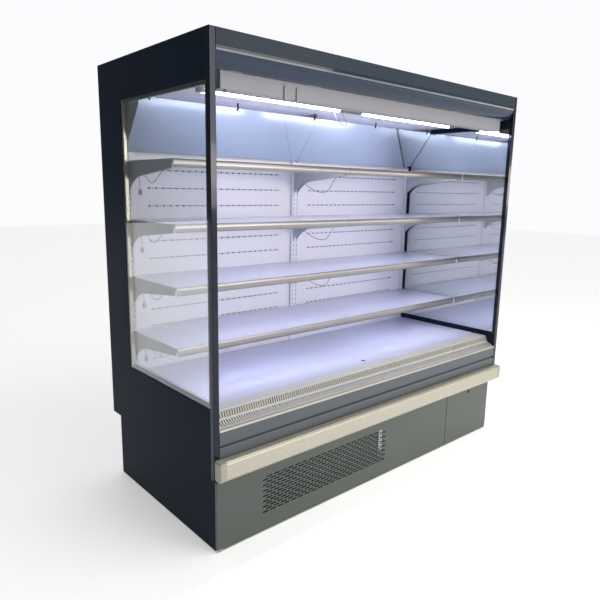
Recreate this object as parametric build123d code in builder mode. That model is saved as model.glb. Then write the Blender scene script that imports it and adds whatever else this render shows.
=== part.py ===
from build123d import *
import math
import os

# Open multideck display fridge with its condensing unit in the base.
# Millimetres. X runs along the front, Y from the front to the back, Z up from the floor.
# Depths are given back from the front plane of the canopy and the front panels.

# ---- whole cabinet
body_length = 2090.0
body_depth = 953.0
body_height = 2000.0
base_height = 309.0
base_front_projection = 18.0
base_rear_depth = 869.0
base_right_setback = 96.0
floor_gap = 2.0
sheet = 1.5
seat_gap = 0.3
fit_gap = 1.0

# ---- side walls, glass and posts
side_thickness = 28.0
post_depth = 22.0
post_edge_radius = 3.0
window_rear_depth = 726.0
window_low = 602.0
window_head_height = 174.0
top_cover_height = 150.0
pane_thickness = 4.0
pane_inset = 3.0
window_trim_width = 14.0

# ---- insulated body
roof_thickness = 60.0
back_thickness = 60.0
tank_floor_thickness = 40.0
tank_wall_thickness = 50.0
tank_front_gap = 2.0
tank_front_top = 505.4
tank_corner_radius = 30.0

# ---- front panels, from the top trim down to the bumper
front_top = 516.0
trim_face_height = 10.6
trim_web = 2.3
trim_lip = 3.0
upper_panel_low = 454.0
groove_height = 12.0
groove_depth = 8.0
lower_panel_low = 398.0
bumper_high = 395.0
bumper_projection = 42.0
bumper_corner_radius = 16.0
bumper_cap_length = 34.0
bumper_cap_chamfer = 6.0
bumper_spine_height = 42.0
bumper_flute_radius = 2.0
bumper_flute_count = 5
bumper_flute_pitch = 10.0

# ---- kick panels and plinth
kick_low = 11.0
kick_seam_from_left = 1562.0
kick_seam_gap = 3.0
kick_return = 14.0
plinth_face_top = 8.0
plinth_web_top = 10.7
plinth_upstand_top = 60.0
plinth_step = 6.0
vent_left_from_left = 225.0
vent_length = 805.0
vent_low = 86.0
vent_height = 174.0
vent_rows = 9
vent_columns = 7
vent_slot_height = 8.0
vent_slot_fill = 0.74
access_hole_diameter = 20.0
access_hole_height = 286.0
access_hinge_height = 15.0
access_hinge_depth = 5.0
access_pin_radius = 2.5
access_pin_length = 9.0
access_ear_radius = 3.4
access_ear_thickness = 5.0
access_ear_gap = 3.0
running_gap = 0.06

# ---- base frame and feet
frame_beam = 40.0
frame_low = 30.0
frame_setback = 14.0
frame_middle_x = 60.0
foot_pad_diameter = 40.0
foot_pad_height = 12.0
foot_pad_taper = 20.0
foot_pad_sides = 12
foot_stud_diameter = 16.0
foot_x_inset = 90.0

# ---- canopy
fascia_height = 56.0
lip_joint = 1.0
lip_depth = 32.0
lip_height = 70.0
lip_return_depth = 40.0
lip_return_height = 13.0
lip_thickness = 2.0
lip_cap_thickness = 3.0
soffit_depth = 130.0
soffit_drop = 123.0
soffit_lip_height = 10.0
ceiling_drop = 145.0
ceiling_front_depth = 296.0
ceiling_flange_height = 24.0
ceiling_slot_depth = 587.0
ceiling_slot_row_length = 1700.0
ceiling_slot_count = 17
ceiling_slot_width = 4.0
ceiling_slot_length = 60.0
outlet_height = 20.0
outlet_rise = 3.0
outlet_slats = 24
outlet_slat_thickness = 1.5

# ---- night blind
cassette_hang = 3.5
cassette_height = 64.5
cassette_front_depth = 52.0
cassette_depth = 68.0
cassette_wall = 2.0
cassette_end_inset = 80.0
cassette_cap_thickness = 4.0
cassette_slot_depth = 5.0
cassette_slot_width = 9.0
hanger_length = 70.0
hanger_width = 40.0
hanger_end_inset = 61.0
hanger_middle_places = (-500.0, 520.0)
roll_radius = 25.0
roll_pin_radius = 4.0
curtain_thickness = 1.2
curtain_end_inset = 20.0
pull_bar_height = 5.0
pull_bar_depth = 14.0
pull_bar_edge_radius = 1.8
pull_bar_gap = 0.5
pull_tab_places = (-656.0, -592.0)
pull_tab_width = 22.0
pull_tab_height = 46.0
pull_tab_thickness = 3.0
pull_tab_root = 2.0

# ---- canopy lamps
lamp_depth = 329.0
lamp_hang = 10.0
lamp_radius = 9.0
lamp_tube_length = 806.0
lamp_gap = 130.0
lamp_end_cap = 20.0
lamp_holder_width = 24.0
lead_diameter = 3.2
lead_bend_share = 0.45
lead_sides = 5

# ---- leaning mirror over the top shelf
mirror_top_depth = 574.0
mirror_hang = 22.0
mirror_bottom_depth = 737.0
mirror_rise = 42.0
mirror_thickness = 4.0
mirror_joint = 1.0
cheek_thickness = 1.5
cheek_foot = 8.0
cheek_lip = 1.0
clip_left_inset = 45.0
clip_right_inset = 38.0
clip_middle_places = (-520.0, -18.0, 475.0)
clip_width = 8.0
clip_thickness = 1.5
clip_reach = 14.0

# ---- interior back and shelving
back_panel_depth = 756.0
back_slot_rows = 12
back_slot_first = 614.0
back_slot_pitch = 83.5
back_slot_row_length = 802.0
back_slots_in_row = 2
back_slot_height = 5.0
back_slot_fill = 0.8
upright_front_depth = 744.0
upright_depth = 16.0
upright_side_width = 30.0
upright_centre_width = 54.0
hook_column_offset = 12.0
hook_slot_width = 4.2
hook_slot_height = 16.0
hook_length = 7.0
hook_thickness = 2.4
hook_drop = 12.0
hook_upper_drop = 40.0
hook_slot_pitch = 26.4
hook_slots_apart = 2
spacer_heights = (700.0, 1500.0)
spacer_height = 20.0
shelf_count = 4
shelf_first_top = 777.0
shelf_pitch = 264.0
shelf_front_depth = 320.0
shelf_thickness = 1.2
shelf_edge = 14.0
shelf_end_gap = 5.0
shelf_joint = 2.0
rail_height = 35.0
rail_depth = 6.0
rail_wall = 1.5
rail_lip = 3.0
bracket_thickness = 2.4
bracket_front_depth = 346.0
bracket_front_drop = 38.0
bracket_knee_depth = 640.0
bracket_knee_drop = 70.0
bracket_heel_drop = 140.0
bracket_bend_share = (0.62, 0.42)
shelf_lamp_depth = 326.0
shelf_lamp_width = 20.0
shelf_lamp_thickness = 12.0
shelf_lamp_inset = 40.0
lead_clip_depths = (686.0, 698.0)
lead_clip_drop = 17.5
lead_clip_x = (31.0, 37.0)
lead_clip_thickness = 1.5
socket_x = 9.0
socket_drop = 62.0
socket_width = 12.0
socket_length = 8.0
looped_tiers = (2, 3, 4)

# ---- deck
deck_top = 571.0
deck_front_depth = 129.0
deck_edge = 22.0
deck_tray_count = 5
deck_tray_joint = 1.2
deck_ledge_width = 24.0
deck_hole_diameter = 22.0
deck_hole_depth = 175.0
grille_front_depth = 12.0
grille_front_height = 517.0
grille_knee_depth = 50.0
grille_knee_height = 537.0
grille_crest_depth = 63.0
grille_slot_count = 24
grille_slot_width = 30.0
grille_slot_margin = 5.0

# ---- cooling unit in the tank
fan_deck_depth = 300.0
fan_deck_flange = 30.0
evap_fan_x = 450.0
evap_fan_height = 455.0
evap_fan_radius = 88.0
evap_coil_front_depth = 470.0
evap_coil_depth = 230.0
evap_coil_height = 150.0
evap_coil_foot = 13.0
evap_coil_end_gap = 137.0
coil_plate = 3.0
coil_fin_groove = 3.0
coil_fin_grooves = 16
coil_bend_radius = 9.0
coil_bend_length = 42.0
coil_bend_share = 0.6
coil_bend_rows = 4
coil_bend_columns = 3

# ---- condensing unit in the base
unit_plate_thickness = 3.0
unit_plate_end_gap = 57.0
unit_plate_right = 30.0
condenser_front_depth = 30.0
condenser_depth = 55.0
condenser_height = 220.0
condenser_end_gap = 197.0
condenser_right = -20.0
shroud_depth = 40.0
condenser_fan_radius = 98.0
fan_tip_gap = 5.0
fan_bar_width = 16.0
fan_bar_depth = 12.0
fan_bar_lap = 5.0
fan_motor_radius = 36.0
fan_motor_length = 52.0
fan_shaft_radius = 4.0
fan_hub_radius = 26.0
fan_hub_length = 26.0
fan_blade_count = 5
fan_blade_chord = 62.0
fan_root_chord = 44.0
fan_blade_thickness = 2.0
fan_blade_pitch = 26.0
fan_blade_camber = 4.5
compressor_x = -330.0
compressor_depth = 420.0
compressor_radius = 92.0
compressor_wall_height = 120.0
compressor_crown_height = 44.0
compressor_crown_inset = 34.0
compressor_sides = 24
compressor_foot_size = 200.0
compressor_foot_height = 18.0
electric_box_end_gap = 89.0
electric_box_length = 300.0
electric_box_depth = 90.0
electric_box_height = 180.0
electric_box_corner = 6.0

# ---- places worked out from the sizes above
half_length = body_length / 2
front_y = (bumper_projection - body_depth) / 2
inner_x = half_length - side_thickness
tank_front_depth = post_depth + tank_front_gap
tank_rear_depth = body_depth - back_thickness
roof_low = body_height - roof_thickness
base_right_x = half_length - base_right_setback
kick_seam_x = -half_length + kick_seam_from_left
tank_floor_top = base_height + tank_floor_thickness
frame_high = frame_low + frame_beam
top_cover_low = body_height - top_cover_height
window_high = body_height - window_head_height
fascia_low = body_height - fascia_height
lip_low = fascia_low - lip_joint - lip_height
soffit_low = body_height - soffit_drop
ceiling_low = body_height - ceiling_drop
outlet_low = ceiling_low + outlet_rise
cassette_high = soffit_low - cassette_hang
cassette_low = cassette_high - cassette_height
lamp_height = ceiling_low - lamp_hang
mirror_top = ceiling_low - mirror_hang
shelf_tops = [shelf_first_top + shelf_pitch * tier for tier in range(shelf_count)]
mirror_bottom = shelf_tops[-1] + mirror_rise
hook_lower_drop = hook_upper_drop + hook_slots_apart * hook_slot_pitch
evap_coil_half_length = inner_x - evap_coil_end_gap
condenser_x = (-inner_x + condenser_end_gap, condenser_right)
condenser_fan_x = sum(condenser_x) / 2


def behind(depth):
    """The Y of a plane that lies this far back from the front plane."""
    return front_y + depth


def write(solid, name):
    """Name a finished sub-part and keep it as its own STEP file."""
    solid.label = name
    export_step(solid, f"parts/{name}.step")


def add_block(x_span, y_span, z_span, mode=Mode.ADD):
    """A rectangular block between three pairs of planes, in the open part."""
    spans = (x_span, y_span, z_span)
    with Locations(tuple(sum(span) / 2 for span in spans)):
        Box(*(max(span) - min(span) for span in spans), mode=mode)


def extruded_x(outline, x_span, mode=Mode.ADD):
    """A bar whose section is an outline of (depth, height) points, in the open part."""
    with BuildSketch(Plane.YZ.offset(x_span[0])) as section:
        with BuildLine():
            Polyline(*((behind(depth), height) for depth, height in outline), close=True)
        make_face()
    extrude(section.sketch, amount=x_span[1] - x_span[0], mode=mode)


def folded_sheet(path, x_span, side=Side.RIGHT, thickness=sheet):
    """Sheet bent along a path of (depth, height) points, its thickness on one side of the path."""
    with BuildSketch(Plane.YZ.offset(x_span[0])) as section:
        with BuildLine():
            Polyline(*((behind(depth), height) for depth, height in path))
            offset(amount=thickness, side=side, kind=Kind.INTERSECTION)
        make_face()
    extrude(section.sketch, amount=x_span[1] - x_span[0])


def cylinder_y(centre, radius, depths, mode=Mode.ADD):
    """A round bar or hole along Y between two depths, in the open part."""
    with Locations(Location((centre[0], behind(sum(depths) / 2), centre[1]), (90, 0, 0))):
        Cylinder(radius, abs(depths[1] - depths[0]), mode=mode)


def mirrored_pair(span):
    """The same X span on the left and on the right of the middle."""
    return (-span[1], -span[0]), span


# ================================================================ base
def build_base_frame():
    x_span = (-inner_x + seat_gap, base_right_x - sheet - seat_gap)
    rear_edge = base_rear_depth - fit_gap
    rail_depths = (
        (frame_setback, frame_setback + frame_beam),
        (rear_edge - frame_beam, rear_edge),
    )
    post_x = (
        (x_span[0], x_span[0] + frame_beam),
        (frame_middle_x - frame_beam / 2, frame_middle_x + frame_beam / 2),
        (x_span[1] - frame_beam, x_span[1]),
    )
    with BuildPart() as base_frame:
        for depths in rail_depths:
            add_block(x_span, (behind(depths[0]), behind(depths[1])), (frame_low, frame_high))
            for span in post_x:
                add_block(span, (behind(depths[0]), behind(depths[1])), (frame_high, base_height))
        for span in post_x:
            add_block(span, (behind(rail_depths[0][1]), behind(rail_depths[1][0])),
                      (frame_low, frame_high))
    write(base_frame.part, "base_frame")
    return rail_depths, post_x


def build_feet(rail_depths, post_x):
    foot_x = (post_x[0][0] + foot_x_inset, frame_middle_x, post_x[2][1] - foot_x_inset)
    places = [(x, behind(sum(depths) / 2)) for x in foot_x for depths in rail_depths]
    with BuildPart() as levelling_feet:
        with BuildSketch(Plane.XY):
            with Locations(*places):
                RegularPolygon(foot_pad_diameter / 2, foot_pad_sides)
        extrude(amount=foot_pad_height, taper=foot_pad_taper)
        with BuildSketch(Plane.XY.offset(foot_pad_height)):
            with Locations(*places):
                RegularPolygon(foot_stud_diameter / 2, foot_pad_sides)
        extrude(amount=frame_low - foot_pad_height)
    write(levelling_feet.part, "levelling_feet")


def plinth_section(riser_depth, x_span):
    """The rail's section: face, step, riser, web under the panels, and upstand on the frame."""
    front = -base_front_projection
    folded_sheet((
        (frame_setback, plinth_upstand_top),
        (frame_setback, plinth_web_top - sheet),
        (riser_depth, plinth_web_top - sheet),
        (riser_depth, plinth_face_top - sheet),
        (front + sheet, plinth_face_top - sheet),
        (front + sheet, floor_gap),
    ), x_span)


def build_plinth_rail():
    front = -base_front_projection
    right_end = base_right_x - sheet - seat_gap
    pivot_y = behind(front + access_hinge_depth)
    pivot = (pivot_y, access_hinge_height)
    swing = math.hypot(access_hinge_depth, access_hinge_height - kick_low)
    with BuildPart() as plinth_rail:
        plinth_section(front + plinth_step, (-inner_x + seat_gap, kick_seam_x))
        plinth_section(front + access_hinge_depth + swing + fit_gap, (kick_seam_x, right_end))
        add_block((-half_length, -inner_x + seat_gap), (behind(front), behind(front + sheet)),
                  (floor_gap, plinth_face_top))
        for ear_x in access_ear_spans():
            add_block(ear_x, (pivot_y, behind(frame_setback)),
                      (access_hinge_height - access_ear_radius,
                       access_hinge_height + access_ear_radius))
            with BuildSketch(Plane.YZ.offset(ear_x[0])):
                with Locations(pivot):
                    Circle(access_ear_radius)
            extrude(amount=access_ear_thickness)
            with BuildSketch(Plane.YZ.offset(ear_x[0])):
                with Locations(pivot):
                    Circle(access_pin_radius + running_gap)
            extrude(amount=access_ear_thickness, mode=Mode.SUBTRACT)
    write(plinth_rail.part, "plinth_rail")


def access_panel_span():
    """From the seam to the right end of the base."""
    return kick_seam_x + kick_seam_gap / 2, base_right_x


def access_ear_spans():
    """The two hinge ears stand just inside the side returns of the access panel."""
    low, high = access_panel_span()
    inset = sheet + access_ear_gap
    return ((low + inset, low + inset + access_ear_thickness),
            (high - inset - access_ear_thickness, high - inset))


def kick_tray(x_span):
    """A kick panel: a front sheet with its top and side edges turned back."""
    front = -base_front_projection
    y_face = (behind(front), behind(front + sheet))
    y_return = (behind(front + sheet), behind(front + kick_return))
    top = base_height - fit_gap
    add_block(x_span, y_face, (kick_low, top))
    add_block(x_span, y_return, (top - sheet, top))
    add_block((x_span[0], x_span[0] + sheet), y_return, (kick_low, top))
    add_block((x_span[1] - sheet, x_span[1]), y_return, (kick_low, top))


def build_kick_panel():
    x_span = (-half_length, kick_seam_x - kick_seam_gap / 2)
    front = -base_front_projection
    column_pitch = vent_length / vent_columns
    row_pitch = vent_height / vent_rows
    vent_x = -half_length + vent_left_from_left + vent_length / 2
    vent_z = vent_low + vent_height / 2
    with BuildPart() as kick_panel:
        kick_tray(x_span)
        add_block((x_span[0] + sheet, x_span[1] - sheet),
                  (behind(front + sheet), behind(front + kick_return)),
                  (plinth_web_top + seat_gap, plinth_web_top + seat_gap + sheet))
        with BuildSketch(Plane.XZ.offset(-behind(front))):
            with Locations((vent_x, vent_z)):
                with GridLocations(column_pitch, 2 * row_pitch, vent_columns, (vent_rows + 1) // 2):
                    Rectangle(column_pitch * vent_slot_fill, vent_slot_height)
                with GridLocations(column_pitch, 2 * row_pitch, vent_columns - 1, vent_rows // 2):
                    Rectangle(column_pitch * vent_slot_fill, vent_slot_height)
        extrude(amount=-sheet, mode=Mode.SUBTRACT)
    write(kick_panel.part, "kick_panel")


def build_access_panel():
    x_span = access_panel_span()
    front = -base_front_projection
    pivot = (behind(front + access_hinge_depth), access_hinge_height)
    with BuildPart() as kick_access_panel:
        kick_tray(x_span)
        for side, inward in ((x_span[0] + sheet, 1), (x_span[1] - sheet, -1)):
            with BuildSketch(Plane.YZ.offset(side)):
                with Locations(pivot):
                    Circle(access_pin_radius)
            extrude(amount=inward * access_pin_length)
        with BuildSketch(Plane.XZ.offset(-behind(front))):
            with Locations((sum(x_span) / 2, access_hole_height)):
                Circle(access_hole_diameter / 2)
        extrude(amount=-sheet, mode=Mode.SUBTRACT)
    write(kick_access_panel.part, "kick_access_panel")


def build_base_side():
    front = -base_front_projection + kick_return + 2 * fit_gap
    with BuildPart() as base_side_right:
        add_block((base_right_x - sheet, base_right_x), (behind(front), behind(base_rear_depth)),
                  (floor_gap, base_height - seat_gap))
    write(base_side_right.part, "base_side_right")


# ================================================================ condensing unit
def build_blade(tip_plane):
    """One creased sheet blade along X, narrower at its root, turned to its pitch."""
    root = fan_hub_radius - fan_blade_thickness
    half = fan_blade_chord / 2
    with BuildPart() as blade:
        with BuildSketch(Plane.YZ.offset(root)):
            with BuildLine():
                Polyline((-half, 0), (0, fan_blade_camber), (half, 0), (half, fan_blade_thickness),
                         (0, fan_blade_camber + fan_blade_thickness),
                         (-half, fan_blade_thickness), close=True)
            make_face()
        extrude(amount=tip_plane - root)
        with BuildSketch():
            with BuildLine():
                Polyline((root, -fan_root_chord / 2), (tip_plane, -half), (tip_plane, half),
                         (root, fan_root_chord / 2), close=True)
            make_face()
        extrude(amount=fan_blade_camber + fan_blade_thickness, mode=Mode.INTERSECT)
    return blade.part.rotate(Axis.X, fan_blade_pitch)


def build_rotor(name, tip_radius, centre, facing):
    """One fan rotor; facing is +1 where its shaft points to the back, -1 to the front."""
    tip_plane = math.sqrt(tip_radius ** 2 - (fan_blade_chord / 2) ** 2) - fan_blade_thickness
    blade = build_blade(tip_plane)
    with BuildPart() as rotor:
        Cylinder(fan_hub_radius, fan_hub_length)
        with Locations((0, 0, fan_hub_length / 2)):
            Cylinder(fan_shaft_radius, fan_bar_depth + fit_gap,
                     align=(Align.CENTER, Align.CENTER, Align.MIN))
        with PolarLocations(0, fan_blade_count):
            add(blade)
    with BuildPart() as placed:
        with Locations(Location(centre, (-90 * facing, 0, 0))):
            add(rotor.part)
    write(placed.part, name)


def fan_mount(plate_depth, facing, centres, tip_radius):
    """Orifices in an upright plate, each with a bar across that carries the motor."""
    bar_near = plate_depth + sheet if facing > 0 else plate_depth
    bar_far = bar_near + facing * fan_bar_depth
    orifice = tip_radius + fan_tip_gap
    for x, z in centres:
        cylinder_y((x, z), orifice, (plate_depth, plate_depth + sheet), Mode.SUBTRACT)
        add_block((x - fan_bar_width / 2, x + fan_bar_width / 2),
                  (behind(bar_near), behind(bar_far)),
                  (z - orifice - fan_bar_lap, z + orifice + fan_bar_lap))
        cylinder_y((x, z), fan_motor_radius, (bar_far, bar_far + facing * fan_motor_length))
        cylinder_y((x, z), fan_shaft_radius + running_gap,
                   (bar_near, bar_far + facing * 2 * fit_gap), Mode.SUBTRACT)


def coil_block(x_span, depth_span, z_span, foot):
    """A finned coil: a core grooved by its fins, end plates, and return bends outside them."""
    y_span = (behind(depth_span[0]), behind(depth_span[1]))
    add_block(x_span, y_span, z_span)
    pitch = (x_span[1] - x_span[0]) / coil_fin_grooves
    with Locations((sum(x_span) / 2, sum(y_span) / 2, z_span[1])):
        with GridLocations(pitch, 0, coil_fin_grooves, 1):
            Box(coil_fin_groove, y_span[1] - y_span[0], 2 * coil_fin_groove, mode=Mode.SUBTRACT)
    for plate_x in ((x_span[0] - coil_plate, x_span[0]), (x_span[1], x_span[1] + coil_plate)):
        add_block(plate_x, y_span, (z_span[0] - foot, z_span[1]))


def build_evaporator():
    depth_span = (evap_coil_front_depth, evap_coil_front_depth + evap_coil_depth)
    low = tank_floor_top + evap_coil_foot
    x_span = (-evap_coil_half_length, evap_coil_half_length)
    row_pitch = evap_coil_height / coil_bend_rows
    with BuildPart() as evaporator:
        coil_block(x_span, depth_span, (low, low + evap_coil_height), evap_coil_foot)
        for side in (1, -1):
            with BuildSketch(Plane.YZ.offset(side * (x_span[1] + coil_plate))) as bends:
                with Locations((behind(sum(depth_span) / 2), low + evap_coil_height / 2)):
                    with GridLocations(evap_coil_depth / coil_bend_columns, row_pitch,
                                       coil_bend_columns, coil_bend_rows):
                        Rectangle(coil_bend_length, 2 * coil_bend_radius)
                chamfer(bends.vertices(), coil_bend_radius * coil_bend_share)
            extrude(amount=side * 2 * coil_bend_radius)
    write(evaporator.part, "evaporator_coil")


def build_evaporator_fans():
    x_limit = inner_x - fit_gap
    centres = ((-evap_fan_x, evap_fan_height), (evap_fan_x, evap_fan_height))
    flange_top = deck_top - shelf_thickness - seat_gap
    with BuildPart() as fan_deck:
        add_block((-x_limit, x_limit), (behind(fan_deck_depth), behind(fan_deck_depth + sheet)),
                  (tank_floor_top, flange_top))
        add_block((-x_limit, x_limit), (behind(fan_deck_depth), behind(fan_deck_depth + fan_deck_flange)),
                  (flange_top - sheet, flange_top))
        fan_mount(fan_deck_depth, -1, centres, evap_fan_radius)
    write(fan_deck.part, "evaporator_fan_deck")
    hub_depth = fan_deck_depth + sheet + fit_gap + fan_hub_length / 2
    for name, (x, z) in zip(("evaporator_fan_left", "evaporator_fan_right"), centres):
        build_rotor(name, evap_fan_radius, (x, behind(hub_depth), z), -1)


def build_condensing_unit():
    plate_top = frame_high + unit_plate_thickness
    condenser_rear = condenser_front_depth + condenser_depth
    orifice_depth = condenser_rear + shroud_depth
    fan_height = plate_top + condenser_height / 2
    with BuildPart() as unit_plate:
        add_block((-inner_x + unit_plate_end_gap, unit_plate_right),
                  (behind(frame_setback + fit_gap), behind(base_rear_depth - frame_beam)),
                  (frame_high, plate_top))
    write(unit_plate.part, "unit_base_plate")
    with BuildPart() as condenser:
        coil_block(condenser_x, (condenser_front_depth, condenser_rear),
                   (plate_top + coil_plate, plate_top + condenser_height), coil_plate)
    write(condenser.part, "condenser_coil")
    with BuildPart() as shroud:
        add_block(condenser_x, (behind(condenser_rear), behind(orifice_depth + sheet)),
                  (plate_top, plate_top + condenser_height))
        inner = (condenser_x[0] + sheet, condenser_x[1] - sheet)
        add_block(inner, (behind(condenser_rear), behind(orifice_depth)),
                  (plate_top + sheet, plate_top + condenser_height - sheet), mode=Mode.SUBTRACT)
        fan_mount(orifice_depth, 1, ((condenser_fan_x, fan_height),), condenser_fan_radius)
    write(shroud.part, "condenser_shroud")
    hub_depth = orifice_depth - fit_gap - fan_hub_length / 2
    build_rotor("condenser_fan", condenser_fan_radius,
                (condenser_fan_x, behind(hub_depth), fan_height), 1)
    with BuildPart() as compressor:
        with BuildSketch(Plane.XY.offset(plate_top)):
            with Locations((compressor_x, behind(compressor_depth))):
                Rectangle(compressor_foot_size, compressor_foot_size)
        extrude(amount=compressor_foot_height)
        with BuildSketch(Plane.XY.offset(plate_top + compressor_foot_height)):
            with Locations((compressor_x, behind(compressor_depth))):
                RegularPolygon(compressor_radius, compressor_sides)
        extrude(amount=compressor_wall_height - compressor_crown_height)
        crown_low = plate_top + compressor_foot_height + compressor_wall_height - compressor_crown_height
        with BuildSketch(Plane.XY.offset(crown_low)):
            with Locations((compressor_x, behind(compressor_depth))):
                RegularPolygon(compressor_radius, compressor_sides)
        extrude(amount=compressor_crown_height,
                taper=math.degrees(math.atan2(compressor_crown_inset, compressor_crown_height)))
    write(compressor.part, "compressor")
    with BuildPart() as electric_box:
        right = base_right_x - electric_box_end_gap
        front = frame_setback + fit_gap
        add_block((right - electric_box_length, right),
                  (behind(front), behind(front + electric_box_depth)),
                  (frame_high, frame_high + electric_box_height))
        chamfer(electric_box.edges().filter_by(Axis.Z), electric_box_corner)
    write(electric_box.part, "electrical_box")


# ================================================================ insulated body and sides
def build_insulated_body():
    x_span = (-inner_x, inner_x)
    wall_rear = tank_front_depth + tank_wall_thickness
    with BuildPart() as tank:
        extruded_x((
            (tank_front_depth, base_height),
            (tank_rear_depth, base_height),
            (tank_rear_depth, tank_floor_top),
            (wall_rear, tank_floor_top),
            (wall_rear, tank_front_top),
            (tank_front_depth, tank_front_top),
        ), x_span)
        corner = tank.edges().filter_by(Axis.X).filter_by_position(
            Axis.Y, behind(wall_rear - fit_gap), behind(wall_rear + fit_gap)).sort_by(Axis.Z)[0]
        fillet(corner, tank_corner_radius)
    write(tank.part, "insulated_tank")
    with BuildPart() as back:
        add_block(x_span, (behind(tank_rear_depth), behind(body_depth)), (base_height, roof_low))
    write(back.part, "insulated_back")
    with BuildPart() as roof:
        add_block(x_span, (behind(post_depth), behind(body_depth)), (roof_low, body_height))
    write(roof.part, "insulated_roof")


def side_outline(reaches_floor):
    """Side wall seen from the left: a C round the window, open at the front post."""
    outline = [
        (post_depth, top_cover_low),
        (body_depth, top_cover_low),
        (body_depth, base_height),
    ]
    if reaches_floor:
        kick_back = -base_front_projection + kick_return + fit_gap
        outline += [
            (base_rear_depth, base_height),
            (base_rear_depth, floor_gap),
            (kick_back, floor_gap),
            (kick_back, base_height),
        ]
    outline += [
        (post_depth, base_height),
        (post_depth, window_low),
        (window_rear_depth, window_low),
        (window_rear_depth, window_high),
        (post_depth, window_high),
    ]
    return outline


def build_sides():
    left, right = mirrored_pair((inner_x, half_length))
    with BuildPart() as end_left:
        extruded_x(side_outline(reaches_floor=True), left)
    write(end_left.part, "end_panel_left")
    with BuildPart() as end_right:
        extruded_x(side_outline(reaches_floor=False), right)
    write(end_right.part, "end_panel_right")
    with BuildPart() as top_covers:
        for span in (left, right):
            add_block(span, (behind(post_depth), behind(body_depth)),
                      (top_cover_low + fit_gap, body_height))
    write(top_covers.part, "top_side_covers")
    with BuildPart() as posts:
        for span in (left, right):
            add_block(span, (behind(0), behind(post_depth)), (base_height, body_height))
        front_edges = posts.edges().filter_by(Axis.Z).group_by(Axis.Y)[0]
        fillet(front_edges, post_edge_radius)
    write(posts.part, "front_posts")


def build_side_glass():
    z_span = (window_low + seat_gap, window_high - seat_gap)
    y_span = (behind(post_depth + seat_gap), behind(window_rear_depth - seat_gap))
    outer = half_length - pane_inset
    inner = inner_x + pane_inset
    with BuildPart() as glass:
        for span in (*mirrored_pair((outer - pane_thickness, outer)),
                     *mirrored_pair((inner, inner + pane_thickness))):
            add_block(span, y_span, z_span)
    write(glass.part, "side_glass")
    spacer = (inner + pane_thickness, outer - pane_thickness)
    with BuildPart() as trims:
        for span in mirrored_pair(spacer):
            add_block(span, y_span, z_span)
            add_block(span, (y_span[0] + window_trim_width, y_span[1] - window_trim_width),
                      (z_span[0] + window_trim_width, z_span[1] - window_trim_width),
                      mode=Mode.SUBTRACT)
    write(trims.part, "glass_spacers")


# ================================================================ front panels
def build_front_panels():
    x_span = (-inner_x + seat_gap, inner_x - seat_gap)
    tank_face = tank_front_depth - seat_gap
    groove_top = upper_panel_low - seat_gap
    with BuildPart() as trim:
        extruded_x((
            (0, front_top - trim_face_height + seat_gap),
            (tank_face + tank_wall_thickness, front_top - trim_face_height + seat_gap),
            (tank_face + tank_wall_thickness, front_top - trim_face_height + seat_gap + trim_web),
            (trim_lip, front_top - trim_face_height + seat_gap + trim_web),
            (trim_lip, front_top),
            (0, front_top),
        ), x_span)
    write(trim.part, "front_top_trim")
    with BuildPart() as upper:
        folded_sheet((
            (tank_face, upper_panel_low),
            (0, upper_panel_low),
            (0, tank_front_top - seat_gap),
            (tank_face, tank_front_top - seat_gap),
        ), x_span)
    write(upper.part, "front_panel_upper")
    with BuildPart() as lower:
        folded_sheet((
            (tank_face, lower_panel_low),
            (0, lower_panel_low),
            (0, upper_panel_low - groove_height),
            (groove_depth, upper_panel_low - groove_height),
            (groove_depth, groove_top),
            (tank_face, groove_top),
        ), x_span)
    write(lower.part, "front_panel_lower")


def bumper_section(x_low):
    """The D-shaped section of the bumper, its front corners rounded."""
    low = base_height + seat_gap
    height = bumper_high - low
    with BuildSketch(Plane.YZ.offset(x_low)) as section:
        with Locations((behind(-bumper_projection / 2), low + height / 2)):
            Rectangle(bumper_projection, height)
        front_corners = section.vertices().group_by(Axis.Y)[0]
        fillet(front_corners, bumper_corner_radius)
    return section.sketch


def build_bumper():
    cap_inner = half_length - bumper_cap_length
    spine_middle = (base_height + bumper_high) / 2
    with BuildPart() as bumper:
        extrude(bumper_section(-cap_inner), amount=2 * cap_inner)
        with BuildSketch(Plane.YZ.offset(-cap_inner)):
            with Locations((behind(-bumper_projection), spine_middle)):
                with GridLocations(0, bumper_flute_pitch, 1, bumper_flute_count):
                    Circle(bumper_flute_radius)
        extrude(amount=2 * cap_inner, mode=Mode.SUBTRACT)
        add_block((-inner_x + seat_gap, inner_x - seat_gap),
                  (behind(0), behind(tank_front_depth - seat_gap)),
                  (spine_middle - bumper_spine_height / 2, spine_middle + bumper_spine_height / 2))
    write(bumper.part, "bumper")
    with BuildPart() as caps:
        for low in (-half_length, cap_inner + seat_gap):
            extrude(bumper_section(low), amount=bumper_cap_length - seat_gap)
        outer_edges = caps.faces().sort_by(Axis.X)[0].edges() + caps.faces().sort_by(Axis.X)[-1].edges()
        front_edges = outer_edges.filter_by(lambda edge: edge.center().Y < behind(-fit_gap))
        chamfer(front_edges, bumper_cap_chamfer)
    write(caps.part, "bumper_end_caps")


# ================================================================ canopy
def lip_radius():
    """The lip leaves the front plane upright and curls back and under."""
    drop = fascia_low - lip_joint - lip_low
    return (lip_depth ** 2 + drop ** 2) / (2 * lip_depth)


def lip_arc(inset, drop):
    """The lip's curve at an inset, from this far under its top, as (start, middle, end)."""
    radius = lip_radius()
    reach = radius - inset
    top = fascia_low - lip_joint
    first = math.asin(drop / reach)
    last = math.asin((top - lip_low) / radius)
    return [(behind(radius - reach * math.cos(turn)), top - reach * math.sin(turn))
            for turn in (first, (first + last) / 2, last)]


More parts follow.
